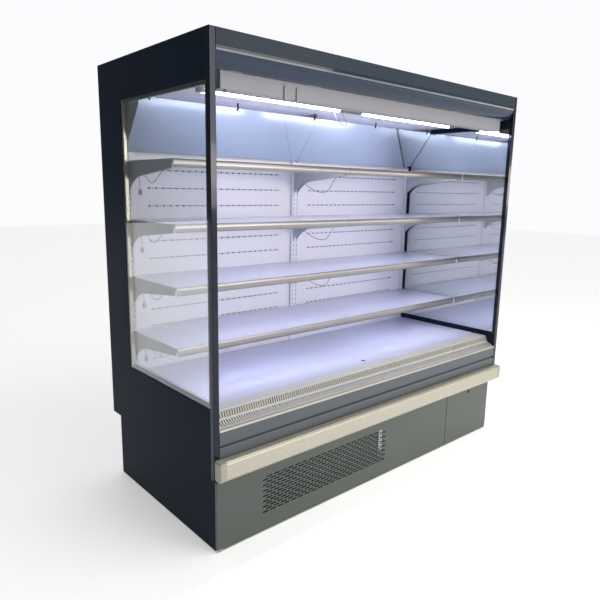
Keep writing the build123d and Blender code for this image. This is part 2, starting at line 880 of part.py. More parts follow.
def build_canopy_front():
    x_span = (-inner_x + seat_gap, inner_x - seat_gap)
    with BuildPart() as fascia:
        folded_sheet((
            (post_depth, fascia_low),
            (0, fascia_low),
            (0, body_height),
            (post_depth, body_height),
        ), x_span)
    write(fascia.part, "canopy_fascia")
    lip_top = fascia_low - lip_joint
    cap_inner = inner_x - seat_gap - lip_cap_thickness
    with BuildPart() as lip:
        with BuildSketch(Plane.YZ.offset(-cap_inner)):
            outer = lip_arc(0.0, 0.0)
            inner = lip_arc(lip_thickness, lip_thickness)
            rise = lip_low + lip_return_height
            with BuildLine():
                ThreePointArc(*outer)
                Polyline(outer[2], (behind(lip_return_depth), lip_low),
                         (behind(lip_return_depth), rise),
                         (behind(lip_return_depth - lip_thickness), rise),
                         (behind(lip_return_depth - lip_thickness), lip_low + lip_thickness),
                         (inner[2][0] + lip_thickness / 2, lip_low + lip_thickness), inner[2])
                ThreePointArc(*reversed(inner))
                Polyline(inner[0], (behind(post_depth), lip_top - lip_thickness),
                         (behind(post_depth), lip_top), outer[0])
            make_face()
        extrude(amount=2 * cap_inner)
    write(lip.part, "canopy_lip")
    with BuildPart() as caps:
        for low in (-inner_x + seat_gap, cap_inner):
            with BuildSketch(Plane.YZ.offset(low)):
                with BuildLine():
                    ThreePointArc(*outer)
                    Polyline(outer[2], (behind(lip_return_depth), lip_low),
                             (behind(lip_return_depth), roof_low), (behind(post_depth), roof_low),
                             (behind(post_depth), lip_top), outer[0])
                make_face()
            extrude(amount=lip_cap_thickness)
    write(caps.part, "lip_end_caps")


def build_canopy_inside():
    x_limit = inner_x - seat_gap
    with BuildPart() as soffit:
        folded_sheet((
            (lip_return_depth + seat_gap, soffit_low + soffit_lip_height),
            (lip_return_depth + seat_gap, soffit_low),
            (soffit_depth, soffit_low),
            (soffit_depth, roof_low),
        ), (-x_limit, x_limit), Side.LEFT)
    write(soffit.part, "canopy_soffit")
    slot_pitch = ceiling_slot_row_length / ceiling_slot_count
    with BuildPart() as ceiling:
        folded_sheet((
            (back_panel_depth - seat_gap, ceiling_low),
            (ceiling_front_depth, ceiling_low),
            (ceiling_front_depth, ceiling_low + ceiling_flange_height),
        ), (-x_limit, x_limit))
        with Locations((0, behind(ceiling_slot_depth), ceiling_low)):
            with GridLocations(slot_pitch, 0, ceiling_slot_count, 1):
                Box(ceiling_slot_length, ceiling_slot_width, 4 * sheet, mode=Mode.SUBTRACT)
    write(ceiling.part, "ceiling_panel")
    low_depth = soffit_depth + seat_gap
    high_depth = ceiling_front_depth - seat_gap
    y_span = (behind(low_depth), behind(high_depth))
    with BuildPart() as outlet:
        z_span = (outlet_low, outlet_low + outlet_height)
        frame_x = x_limit - fit_gap
        add_block((-frame_x, frame_x), y_span, z_span)
        add_block((-frame_x + 2 * sheet, frame_x - 2 * sheet),
                  (y_span[0] + 2 * sheet, y_span[1] - 2 * sheet), z_span, mode=Mode.SUBTRACT)
        with Locations((0, sum(y_span) / 2, sum(z_span) / 2)):
            with GridLocations(2 * frame_x / (outlet_slats + 1), 0, outlet_slats, 1):
                Box(outlet_slat_thickness, y_span[1] - y_span[0] - 2 * sheet, outlet_height)
    write(outlet.part, "air_outlet_grille")


def build_night_blind():
    x_end = half_length - cassette_end_inset
    x_tube = x_end - cassette_cap_thickness
    front = cassette_front_depth
    rear = front + cassette_depth
    wall = cassette_wall
    slot_low = front + cassette_slot_depth
    slot_high = slot_low + cassette_slot_width
    with BuildPart() as cassette:
        extruded_x((
            (slot_low, cassette_low), (front, cassette_low), (front, cassette_high),
            (rear, cassette_high), (rear, cassette_low), (slot_high, cassette_low),
            (slot_high, cassette_low + wall), (rear - wall, cassette_low + wall),
            (rear - wall, cassette_high - wall), (front + wall, cassette_high - wall),
            (front + wall, cassette_low + wall), (slot_low, cassette_low + wall),
        ), (-x_tube, x_tube))
        hanger_end = x_tube - hanger_end_inset
        for place in (-hanger_end, *hanger_middle_places, hanger_end):
            add_block((place - hanger_length / 2, place + hanger_length / 2),
                      (behind(front), behind(front + hanger_width)),
                      (cassette_high, soffit_low - seat_gap))
    write(cassette.part, "blind_cassette")
    axis = (behind(front + cassette_depth / 2), (cassette_low + cassette_high) / 2)
    with BuildPart() as caps:
        for low in (-x_end, x_tube):
            add_block((low, low + cassette_cap_thickness), (behind(front), behind(rear)),
                      (cassette_low, cassette_high))
            with BuildSketch(Plane.YZ.offset(low)):
                with Locations(axis):
                    Circle(roll_pin_radius + running_gap)
            extrude(amount=cassette_cap_thickness, mode=Mode.SUBTRACT)
    write(caps.part, "cassette_end_caps")
    roll_half = x_tube - fit_gap
    with BuildPart() as roller:
        with BuildSketch(Plane.YZ.offset(-roll_half)):
            with Locations(axis):
                Circle(roll_radius)
        extrude(amount=2 * roll_half)
        with BuildSketch(Plane.YZ.offset(-x_end)):
            with Locations(axis):
                Circle(roll_pin_radius)
        extrude(amount=2 * x_end)
    write(roller.part, "blind_roller")
    curtain_rear = front + cassette_depth / 2 - roll_radius - seat_gap
    curtain_half = roll_half - curtain_end_inset
    bar_top = cassette_low - pull_bar_gap
    with BuildPart() as curtain:
        add_block((-curtain_half, curtain_half),
                  (behind(curtain_rear - curtain_thickness), behind(curtain_rear)),
                  (bar_top, axis[1]))
    write(curtain.part, "night_curtain")
    bar_middle = curtain_rear - curtain_thickness / 2
    bar_front = bar_middle - pull_bar_depth / 2
    with BuildPart() as bar:
        add_block((-curtain_half, curtain_half), (behind(bar_front), behind(bar_front + pull_bar_depth)),
                  (bar_top - pull_bar_height, bar_top))
        fillet(bar.edges().filter_by(Axis.X).group_by(Axis.Z)[0], pull_bar_edge_radius)
        tab_front = front - 2 * fit_gap - pull_tab_thickness
        for place in pull_tab_places:
            tab_x = (place - pull_tab_width / 2, place + pull_tab_width / 2)
            add_block(tab_x, (behind(tab_front), behind(tab_front + pull_tab_thickness)),
                      (bar_top - pull_bar_height / 2, bar_top + pull_tab_height))
            add_block(tab_x, (behind(tab_front), behind(bar_front + pull_tab_root)),
                      (bar_top - pull_bar_height / 2 - pull_tab_thickness, bar_top - pull_bar_height / 2))
    write(bar.part, "blind_pull_bar")


# ================================================================ lamps and mirror
def build_canopy_lamps():
    inner_end = lamp_gap / 2
    with BuildPart() as lamps:
        for low in (-inner_end - lamp_tube_length, inner_end):
            with BuildSketch(Plane.YZ.offset(low)):
                with Locations((behind(lamp_depth), lamp_height)):
                    Circle(lamp_radius)
            extrude(amount=lamp_tube_length)
    write(lamps.part, "canopy_lamps")
    outer_end = inner_end + lamp_tube_length
    y_span = (behind(lamp_depth - lamp_holder_width / 2), behind(lamp_depth + lamp_holder_width / 2))
    z_span = (lamp_height - lamp_radius, ceiling_low)
    spans = ((-outer_end - lamp_end_cap, -outer_end), (-inner_end, inner_end),
             (outer_end, outer_end + lamp_end_cap))
    with BuildPart() as holders:
        for span in spans:
            add_block(span, y_span, z_span)
        fillet(holders.edges().filter_by(Axis.X).group_by(Axis.Z)[0], lamp_radius / 2)
    write(holders.part, "lamp_holders")


def mirror_frame():
    """Unit vectors down the mirror's face and square to it, towards the back."""
    run = mirror_bottom_depth - mirror_top_depth
    drop = mirror_top - mirror_bottom
    length = math.hypot(run, drop)
    return (run / length, -drop / length), (drop / length, run / length)


def mirror_point(depth, height, along=0.0, back=0.0):
    """A point moved down the mirror's face and back from it."""
    down, square = mirror_frame()
    return (depth + along * down[0] + back * square[0], height + along * down[1] + back * square[1])


def build_mirror():
    top = (mirror_top_depth, mirror_top)
    bottom = (mirror_bottom_depth, mirror_bottom)
    outline = (top, bottom, mirror_point(*bottom, back=mirror_thickness),
               mirror_point(*top, back=mirror_thickness))
    edge = inner_x - fit_gap
    with BuildPart() as mirrors:
        for span in mirrored_pair((mirror_joint / 2, edge)):
            extruded_x(outline, span)
    write(mirrors.part, "mirrors")
    rear = mirror_thickness + seat_gap
    cheek = (
        mirror_point(*top, back=rear),
        mirror_point(*bottom, back=rear),
        mirror_point(*bottom, along=seat_gap, back=rear),
        mirror_point(*bottom, along=seat_gap, back=-cheek_lip),
        mirror_point(*bottom, along=cheek_foot, back=-cheek_lip),
        (upright_front_depth - seat_gap, mirror_bottom - cheek_foot),
        (upright_front_depth - seat_gap, ceiling_low - seat_gap),
        (mirror_point(*top, back=rear)[0], ceiling_low - seat_gap),
    )
    with BuildPart() as cheeks:
        for span in ((-inner_x, -inner_x + cheek_thickness),
                     (-cheek_thickness / 2, cheek_thickness / 2),
                     (inner_x - cheek_thickness, inner_x)):
            extruded_x(cheek, span)
    write(cheeks.part, "mirror_cheeks")
    front = mirror_point(*top, back=-seat_gap - clip_thickness)
    clip = (
        (mirror_point(*top, back=mirror_thickness)[0], ceiling_low),
        (mirror_point(*top, back=mirror_thickness)[0] - clip_thickness, ceiling_low),
        mirror_point(*top, along=-clip_thickness - seat_gap, back=-clip_thickness - seat_gap),
        mirror_point(*top, along=clip_reach, back=-clip_thickness - seat_gap),
        mirror_point(*top, along=clip_reach, back=-seat_gap),
        mirror_point(*top, along=-seat_gap, back=-seat_gap),
        mirror_point(*top, along=-seat_gap, back=mirror_thickness),
    )
    with BuildPart() as clips:
        for place in (clip_left_inset - inner_x, *clip_middle_places, inner_x - clip_right_inset):
            extruded_x(clip, (place - clip_width / 2, place + clip_width / 2))
    write(clips.part, "mirror_clips")


# ================================================================ interior
def hook_columns():
    """X of each column of hook slots, from the left."""
    side = inner_x - upright_side_width / 2
    return -side, -hook_column_offset, hook_column_offset, side


def upright_spans():
    return ((-inner_x, -inner_x + upright_side_width),
            (-upright_centre_width / 2, upright_centre_width / 2),
            (inner_x - upright_side_width, inner_x))


def build_uprights():
    y_span = (behind(upright_front_depth), behind(upright_front_depth + upright_depth))
    slots = [(x, top - drop) for x in hook_columns() for top in shelf_tops
             for drop in (hook_upper_drop, hook_lower_drop)]
    with BuildPart() as uprights:
        for span in upright_spans():
            add_block(span, y_span, (tank_floor_top, ceiling_low - seat_gap))
            for height in spacer_heights:
                add_block(span, (y_span[1], behind(tank_rear_depth)),
                          (height, height + spacer_height))
        with BuildSketch(Plane.XZ.offset(-y_span[0])):
            with Locations(*slots):
                Rectangle(hook_slot_width, hook_slot_height)
        extrude(amount=-(hook_length + fit_gap), mode=Mode.SUBTRACT)
        for tier in looped_tiers:
            middle = shelf_tops[tier - 1] - socket_drop
            socket_left = hook_columns()[2] + socket_x - socket_width / 2
            add_block((socket_left, socket_left + socket_width),
                      (behind(upright_front_depth - socket_length), behind(upright_front_depth)),
                      (middle - socket_width / 2, middle + socket_width / 2))
    write(uprights.part, "uprights")


def back_panel_spans():
    """Each back panel fills the bay between two uprights."""
    left, centre, right = upright_spans()
    return ((left[1] + seat_gap, centre[0] - seat_gap), (centre[1] + seat_gap, right[0] - seat_gap))


def build_back_panels():
    pitch = back_slot_row_length / back_slots_in_row
    middle_row = back_slot_first + back_slot_pitch * (back_slot_rows - 1) / 2
    ledge_top = deck_top - deck_edge - seat_gap
    with BuildPart() as panels:
        for span in back_panel_spans():
            folded_sheet((
                (back_panel_depth - deck_ledge_width - upright_depth, ledge_top),
                (back_panel_depth, ledge_top),
                (back_panel_depth, ceiling_low - seat_gap),
            ), span, thickness=shelf_thickness)
            with BuildSketch(Plane.XZ.offset(-behind(back_panel_depth - fit_gap))):
                with Locations((sum(span) / 2, middle_row)):
                    with GridLocations(pitch, back_slot_pitch, back_slots_in_row, back_slot_rows):
                        Rectangle(pitch * back_slot_fill, back_slot_height)
            extrude(amount=-(shelf_thickness + 2 * fit_gap), mode=Mode.SUBTRACT)
    write(panels.part, "back_panels")


def shelf_spans():
    """The left and right shelf of a tier."""
    return mirrored_pair((shelf_joint / 2, inner_x - shelf_end_gap))


def build_shelf(tier, top):
    """Two decks with turned-down edges, and a bent tab that holds the left lamp's lead."""
    front = shelf_front_depth
    rear = upright_front_depth - 2 * seat_gap
    y_span = (behind(front), behind(rear))
    skin = shelf_thickness
    with BuildPart() as shelf:
        for span in shelf_spans():
            add_block(span, y_span, (top - shelf_edge, top))
            add_block((span[0] + skin, span[1] - skin), (y_span[0] + skin, y_span[1] - skin),
                      (top - shelf_edge, top - skin), mode=Mode.SUBTRACT)
        clip_x = [hook_columns()[0] + x for x in lead_clip_x]
        clip_y = (behind(lead_clip_depths[0]), behind(lead_clip_depths[1]))
        clip_low = top - lead_clip_drop
        add_block((clip_x[1] - lead_clip_thickness, clip_x[1]), clip_y, (clip_low, top - skin))
        add_block(clip_x, clip_y, (clip_low, clip_low + lead_clip_thickness))
    write(shelf.part, f"shelf_{tier}")


def build_brackets():
    """One plate at each end of every shelf, hooked into the upright behind it."""
    rear = upright_front_depth - seat_gap
    with BuildPart() as brackets:
        for top in shelf_tops:
            under = top - shelf_thickness - seat_gap
            notch = top - shelf_edge - seat_gap
            notch_depth = rear - shelf_edge
            knee = (behind(bracket_knee_depth), top - bracket_knee_drop)
            heel = (behind(rear), top - bracket_heel_drop)
            bend = tuple(near + (far - near) * share
                         for near, far, share in zip(knee, heel, bracket_bend_share))
            for x in hook_columns():
                with BuildSketch(Plane.YZ.offset(x - bracket_thickness / 2)):
                    with BuildLine():
                        Polyline((behind(bracket_front_depth), top - bracket_front_drop),
                                 (behind(bracket_front_depth), under),
                                 (behind(notch_depth), under), (behind(notch_depth), notch),
                                 (behind(rear), notch), heel)
                        ThreePointArc(heel, bend, knee)
                        Line(knee, (behind(bracket_front_depth), top - bracket_front_drop))
                    make_face()
                extrude(amount=bracket_thickness)
                for drop in (hook_upper_drop, hook_lower_drop):
                    middle = top - drop
                    add_block((x - hook_thickness / 2, x + hook_thickness / 2),
                              (behind(rear), behind(upright_front_depth + hook_length)),
                              (middle - hook_drop / 2, middle + hook_drop / 2))
    write(brackets.part, "shelf_brackets")


def build_price_rails():
    front = shelf_front_depth - rail_depth - seat_gap
    back = shelf_front_depth - seat_gap
    with BuildPart() as rails:
        for top in shelf_tops:
            low = top - rail_height
            for span in shelf_spans():
                extruded_x((
                    (front, top), (back, top), (back, low), (front, low),
                    (front, low + rail_lip), (front + rail_wall, low + rail_lip),
                    (front + rail_wall, low + rail_wall), (back - rail_wall, low + rail_wall),
                    (back - rail_wall, top - rail_wall), (front + rail_wall, top - rail_wall),
                    (front + rail_wall, top - rail_lip), (front, top - rail_lip),
                ), span)
    write(rails.part, "price_rails")


def build_shelf_lamps():
    with BuildPart() as lamps:
        for top in shelf_tops:
            high = top - shelf_thickness - seat_gap
            for span in shelf_spans():
                add_block((span[0] + shelf_lamp_inset, span[1] - shelf_lamp_inset),
                          (behind(shelf_lamp_depth), behind(shelf_lamp_depth + shelf_lamp_width)),
                          (high - shelf_lamp_thickness, high))
    write(lamps.part, "shelf_lamps")


# ================================================================ deck
def build_deck():
    rear = upright_front_depth - fit_gap
    y_span = (behind(deck_front_depth + seat_gap), behind(rear))
    width = 2 * (inner_x - seat_gap)
    pitch = (width + deck_tray_joint) / deck_tray_count
    skin = shelf_thickness
    with BuildPart() as trays:
        for index in range(deck_tray_count):
            low = -inner_x + seat_gap + index * pitch
            high = low + pitch - deck_tray_joint
            add_block((low, high), y_span, (deck_top - deck_edge, deck_top))
            add_block((low, high), (y_span[0] + skin, y_span[1] - skin),
                      (deck_top - deck_edge, deck_top - skin), mode=Mode.SUBTRACT)
        with Locations((0, behind(deck_hole_depth), deck_top)):
            Cylinder(deck_hole_diameter / 2, 4 * skin, mode=Mode.SUBTRACT)
    write(trays.part, "deck_trays")


def build_return_grille():
    x_limit = inner_x - seat_gap
    ledge = deck_top - deck_edge - seat_gap
    path = (
        (grille_front_depth, front_top - trim_face_height + trim_web + 2 * seat_gap),
        (grille_front_depth, grille_front_height),
        (grille_knee_depth, grille_knee_height),
        (grille_crest_depth, deck_top),
        (deck_front_depth, deck_top),
        (deck_front_depth, ledge),
        (deck_front_depth + deck_ledge_width, ledge),
    )
    pitch = 2 * x_limit / grille_slot_count
    slope_run = grille_knee_depth - grille_front_depth
    slope_rise = grille_knee_height - grille_front_height
    riser_run = grille_crest_depth - grille_knee_depth
    riser_rise = deck_top - grille_knee_height
    with BuildPart() as grille:
        folded_sheet(path, (-x_limit, x_limit))
        with Locations((0, behind(grille_front_depth + slope_run / 2), grille_front_height + slope_rise / 2)):
            with GridLocations(pitch, 0, grille_slot_count, 1):
                Box(grille_slot_width, slope_run - 2 * grille_slot_margin, 2 * slope_rise,
                    mode=Mode.SUBTRACT)
        with Locations((0, behind(grille_knee_depth + riser_run / 2), grille_knee_height + riser_rise / 2)):
            with GridLocations(pitch, 0, grille_slot_count, 1):
                Box(grille_slot_width, 2 * riser_run, riser_rise - 2 * grille_slot_margin,
                    mode=Mode.SUBTRACT)
    write(grille.part, "return_air_grille")


# ================================================================ lamp leads
# Each route is a hand-chosen run of points of a thin flexible lead: x, depth, and height over
# the ceiling panel's underside.
link_route = (
    (-50.0, 329.0, -19.0),
    (-48.0, 332.0, -33.0),
    (-30.0, 338.0, -49.0),
    (-8.0, 342.0, -64.0),
    (-13.0, 344.0, -81.0),
    (-38.0, 345.0, -79.0),
    (-62.0, 346.0, -62.0),
    (-86.0, 346.0, -41.0),
    (-98.0, 347.0, -20.0),
    (-99.0, 347.0, 0.0),
)
# Routes under a shelf are measured from its left or middle hook column and its top face.
slack_route = (
    (36.0, 346.0, -8.0),
    (37.0, 390.0, -12.0),
    (38.0, 450.0, -24.0),
    (38.0, 512.0, -52.0),
    (37.0, 562.0, -90.0),
    (36.0, 606.0, -100.0),
    (35.0, 644.0, -76.0),
    (34.0, 664.0, -42.0),
    (33.0, 682.0, -14.0),
    (32.0, 702.0, -12.0),
    (31.0, 712.0, -40.0),
    (31.0, 705.0, -82.0),
    (31.0, 700.0, -128.0),
)
loop_route = (
    (36.0, 346.0, -8.0),
    (38.0, 400.0, -14.0),
    (41.0, 460.0, -34.0),
    (44.0, 503.0, -74.0),
    (46.0, 528.0, -114.0),
    (46.0, 574.0, -130.0),
    (42.0, 628.0, -124.0),
    (34.0, 668.0, -108.0),
    (20.0, 700.0, -84.0),
    (socket_x, 716.0, -socket_drop),
    (socket_x, upright_front_depth - socket_length, -socket_drop),
)
connector_size = (14.0, 9.0, 24.0)


def lead_radii(points):
    """Each bend is as large as its two runs allow."""
    radii = []
    for before, corner, after in zip(points, points[1:], points[2:]):
        incoming = corner - before
        outgoing = after - corner
        turn = math.radians(incoming.get_angle(outgoing))
        radii.append(lead_bend_share * min(incoming.length, outgoing.length) / math.tan(turn / 2))
    return radii


def lead_tube(points):
    """A round tube swept along straight runs joined by tangent arcs, in the open part."""
    vectors = [Vector(*point) for point in points]
    radii = lead_radii(vectors)
    with BuildLine() as route:
        FilletPolyline(*vectors, radius=radii)
    with BuildSketch(Plane(origin=route.line @ 0, z_dir=route.line % 0)) as section:
        RegularPolygon(lead_diameter / 2, lead_sides)
    sweep(section.sketch, path=route.line)
    return sum(edge.length for edge in route.edges()), min(radii)


def build_leads():
    with BuildPart() as link:
        length, tightest = lead_tube([(x, behind(depth), ceiling_low + height)
                                      for x, depth, height in link_route])
    write(link.part, "lamp_link_lead")
    print("link lead", round(length), "mm, tightest bend", round(tightest, 1))
    columns = hook_columns()
    total = 0.0
    with BuildPart() as leads:
        for tier, top in enumerate(shelf_tops, start=1):
            routes = [(slack_route, columns[0])]
            if tier in looped_tiers:
                routes.append((loop_route, columns[2]))
            for route, column in routes:
                length, tightest = lead_tube([(column + x, behind(depth), top + height)
                                              for x, depth, height in route])
                total += length
                print("shelf lead", tier, round(length), "mm, tightest bend", round(tightest, 1))
    write(leads.part, "shelf_lamp_leads")
    section_area = lead_sides / 2 * (lead_diameter / 2) ** 2 * math.sin(2 * math.pi / lead_sides)
    print("leads' volume over section times length", round(leads.part.volume / (total * section_area), 4))
    end = slack_route[-1]
    with BuildPart() as connectors:
        for top in shelf_tops:
            with Locations((columns[0] + end[0], behind(end[1]), top + end[2] - connector_size[2] / 2)):
                Box(*connector_size)
    write(connectors.part, "lead_connectors")


# ================================================================ the whole cabinet
os.makedirs("parts", exist_ok=True)
rails, post_places = build_base_frame()
build_feet(rails, post_places)
build_plinth_rail()
build_kick_panel()
build_access_panel()
build_base_side()
build_condensing_unit()
build_insulated_body()
build_sides()
build_side_glass()
build_front_panels()
build_bumper()
build_canopy_front()
build_canopy_inside()
build_night_blind()
build_canopy_lamps()
build_mirror()
build_uprights()
build_back_panels()
for tier_number, tier_top in enumerate(shelf_tops, start=1):
    build_shelf(tier_number, tier_top)
build_brackets()
build_price_rails()
build_shelf_lamps()
build_deck()
build_return_grille()
build_evaporator()
build_evaporator_fans()
build_leads()
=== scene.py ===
import math
import bmesh
import bpy
from mathutils import Matrix, Vector


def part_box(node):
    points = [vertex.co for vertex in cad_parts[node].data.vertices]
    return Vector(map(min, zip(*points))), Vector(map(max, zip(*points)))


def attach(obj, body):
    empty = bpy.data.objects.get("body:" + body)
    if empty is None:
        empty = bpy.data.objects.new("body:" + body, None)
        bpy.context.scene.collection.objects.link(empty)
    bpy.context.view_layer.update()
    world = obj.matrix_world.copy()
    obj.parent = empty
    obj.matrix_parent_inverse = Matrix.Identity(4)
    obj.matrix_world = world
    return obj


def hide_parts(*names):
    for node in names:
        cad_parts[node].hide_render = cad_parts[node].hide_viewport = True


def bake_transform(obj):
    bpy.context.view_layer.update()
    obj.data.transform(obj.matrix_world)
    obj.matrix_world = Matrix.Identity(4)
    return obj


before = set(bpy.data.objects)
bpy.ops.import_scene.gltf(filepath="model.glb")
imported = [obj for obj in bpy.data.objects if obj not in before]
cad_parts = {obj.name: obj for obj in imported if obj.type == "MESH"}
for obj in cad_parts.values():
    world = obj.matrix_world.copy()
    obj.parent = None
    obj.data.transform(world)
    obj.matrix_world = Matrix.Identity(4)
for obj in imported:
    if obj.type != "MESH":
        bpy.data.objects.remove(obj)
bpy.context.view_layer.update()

# ---------------------------------------------------------------- camera
# The eye of the photograph: a phone held 1.45 m above the floor, off the left front corner, looking
# a little down along the shelves. The frame is shifted a few pixels, as the photograph was cropped.
eye = Vector((-2.1748, -2.2345, 1.4529))
yaw, pitch, roll = 0.7264, -0.194, 0.0184
ahead = Vector((math.sin(yaw) * math.cos(pitch), math.cos(yaw) * math.cos(pitch), math.sin(pitch)))
level = Vector((math.cos(yaw), -math.sin(yaw), 0.0))
above = level.cross(ahead)
right_hand = level * math.cos(roll) + above * math.sin(roll)
upward = above * math.cos(roll) - level * math.sin(roll)
lens_data = bpy.data.cameras.new("photo_camera")
lens_data.lens = 34.147
lens_data.sensor_width = 36.0
lens_data.shift_x = -0.0040
lens_data.shift_y = 0.0030
lens_data.clip_end = 60.0
camera = bpy.data.objects.new("photo_camera", lens_data)
camera.matrix_world = Matrix((
    (right_hand.x, upward.x, -ahead.x, eye.x),
    (right_hand.y, upward.y, -ahead.y, eye.y),
    (right_hand.z, upward.z, -ahead.z, eye.z),
    (0.0, 0.0, 0.0, 1.0),
))
bpy.context.scene.collection.objects.link(camera)
bpy.context.scene.camera = camera
bpy.context.scene.view_settings.view_transform = "Standard"


# ---------------------------------------------------------------- studio floor and light
# A pale sealed floor that runs to a pale horizon. The room is dim to the left and in front, so the
# dark coats keep their depth. Two soft boxes light the whole, and a long bright band at eye level
# in front stands for a row of windows that the lip, the posts and the rails throw back.
def shade(code):
    """Turns an sRGB hex colour to the linear colour that a shader takes."""
    parts = [int(code[at:at + 2], 16) / 255 for at in (1, 3, 5)]
    return (*(part / 12.92 if part <= 0.04045 else ((part + 0.055) / 1.055) ** 2.4 for part in parts), 1.0)


def add(finish, kind, sockets=(), **settings):
    """Adds one node: settings are the node's own, sockets hold a value or the output that feeds them."""
    made = finish.node_tree.nodes.new(kind)
    for name, value in settings.items():
        setattr(made, name, value)
    for name, value in dict(sockets).items():
        if isinstance(value, bpy.types.NodeSocket):
            finish.node_tree.links.new(value, made.inputs[name])
        else:
            made.inputs[name].default_value = value
    return made


def new_finish(name, colour, roughness, metallic=0.0, **constants):
    """Starts a material with its constants on the shader's own sockets."""
    finish = bpy.data.materials.new(name)
    finish.use_nodes = True
    shader = finish.node_tree.nodes["Principled BSDF"]
    shader.inputs["Base Color"].default_value = shade(colour)
    shader.inputs["Roughness"].default_value = roughness
    shader.inputs["Metallic"].default_value = metallic
    for socket, value in constants.items():
        shader.inputs[socket.replace("_", " ")].default_value = value
    return finish, shader


def feed(finish, shader, socket, source):
    """Links an output to one socket of the shader."""
    finish.node_tree.links.new(source, shader.inputs[socket])


def mottle(finish, shader, kind, sockets, dark, light, output="Fac", **settings):
    """Mixes the base colour of two tones after a texture in the object's own metres; returns the texture."""
    place = add(finish, "ShaderNodeTexCoord")
    texture = add(finish, kind, {"Vector": place.outputs["Object"], **sockets}, **settings)
    tone = add(finish, "ShaderNodeMixRGB", {"Fac": texture.outputs[output], "Color1": shade(dark),
                                            "Color2": shade(light)})
    feed(finish, shader, "Base Color", tone.outputs["Color"])
    return texture


floor_size = 40.0
bpy.ops.object.select_all(action="DESELECT")
bpy.ops.mesh.primitive_plane_add(size=floor_size)
floor = bpy.context.object
floor.name = "studio_floor"
# the glow stands for the light that a whole shop throws back from below
floor_paint, floor_shader = new_finish("sealed_pale_floor", "#F6F6F6", 0.6, Emission_Color=shade("#FFFFFF"),
                                       Emission_Strength=0.42)
mottle(floor_paint, floor_shader, "ShaderNodeTexNoise", {"Scale": 0.8, "Detail": 2.0}, "#F0F0F0", "#F6F6F5")
floor.data.materials.append(floor_paint)

studio = bpy.data.worlds.new("studio")
studio.use_nodes = True
bpy.context.scene.world = studio
studio_way = add(studio, "ShaderNodeTexCoord")
studio_axes = add(studio, "ShaderNodeSeparateXYZ", {"Vector": studio_way.outputs["Generated"]})
studio_side = add(studio, "ShaderNodeMapRange",
                  {"Value": studio_axes.outputs["X"], "From Min": -0.35, "From Max": 0.1, "To Min": 0.14,
                   "To Max": 1.0}, interpolation_type="SMOOTHSTEP")
studio_front = add(studio, "ShaderNodeMapRange",
                   {"Value": studio_axes.outputs["Y"], "From Min": -0.4, "From Max": 0.1, "To Min": 0.42,
                    "To Max": 1.0}, interpolation_type="SMOOTHSTEP")
studio_glow = add(studio, "ShaderNodeMath", {0: studio_side.outputs["Result"], 1: studio_front.outputs["Result"]},
                  operation="MULTIPLY")
backdrop = studio.node_tree.nodes["Background"]
backdrop.inputs["Color"].default_value = shade("#FCFCFF")
studio.node_tree.links.new(studio_glow.outputs["Value"], backdrop.inputs["Strength"])


def soft_box(name, place, target, width, height, power, colour="#FFFFFF"):
    """An area light of a width and height in metres and a power in watts, facing a target."""
    lamp = bpy.data.lights.new(name, "AREA")
    lamp.shape = "RECTANGLE"
    lamp.size, lamp.size_y, lamp.energy = width, height, power
    lamp.color = shade(colour)[:3]
    stand = bpy.data.objects.new(name, lamp)
    stand.location = place
    stand.rotation_euler = (Vector(target) - Vector(place)).to_track_quat("-Z", "Y").to_euler()
    bpy.context.scene.collection.objects.link(stand)


eye_level = 1.70
soft_box("front_soft_box", (1.6, -4.6, 2.4), (0.2, 0.0, 0.8), width=3.0, height=2.0, power=60.0, colour="#FFF8EE")
soft_box("ceiling_soft_box", (0.4, -1.8, 4.2), (0.0, 0.0, 1.0), width=3.0, height=2.0, power=60.0)
soft_box("eye_level_window_band", (10.0, -9.0, eye_level), (10.0, 0.0, eye_level), width=17.0, height=1.3,
         power=430.0, colour="#FFF0DA")


# ---------------------------------------------------------------- base frame and feet
# Square steel tube, welded and hot-dip galvanised: the zinc shows grey crystals a fingertip wide,
# some lighter and some duller. It stands on six screw feet with black rubber pads.
def dress(finish, *names):
    """Gives CAD nodes their finish."""
    for name in names:
        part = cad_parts[name]
        if not part.material_slots:
            part.data.materials.append(finish)
        for place in part.material_slots:
            place.material = finish


zinc, zinc_shader = new_finish("hot_dip_galvanised_steel", "#8C9092", 0.42, 0.9)
spangle = mottle(zinc, zinc_shader, "ShaderNodeTexVoronoi", {"Scale": 75.0}, "#7D8285", "#A3A7A8", output="Color")
spangle_gloss = add(zinc, "ShaderNodeMapRange", {"Value": spangle.outputs["Color"], "To Min": 0.34, "To Max": 0.52})
feed(zinc, zinc_shader, "Roughness", spangle_gloss.outputs["Result"])
dress(zinc, "base_frame")

# dull, with a little dust in its pores
rubber, rubber_shader = new_finish("moulded_black_rubber", "#191919", 0.72)
mottle(rubber, rubber_shader, "ShaderNodeTexNoise", {"Scale": 60.0, "Detail": 3.0}, "#141414", "#2A2927")
dress(rubber, "levelling_feet")


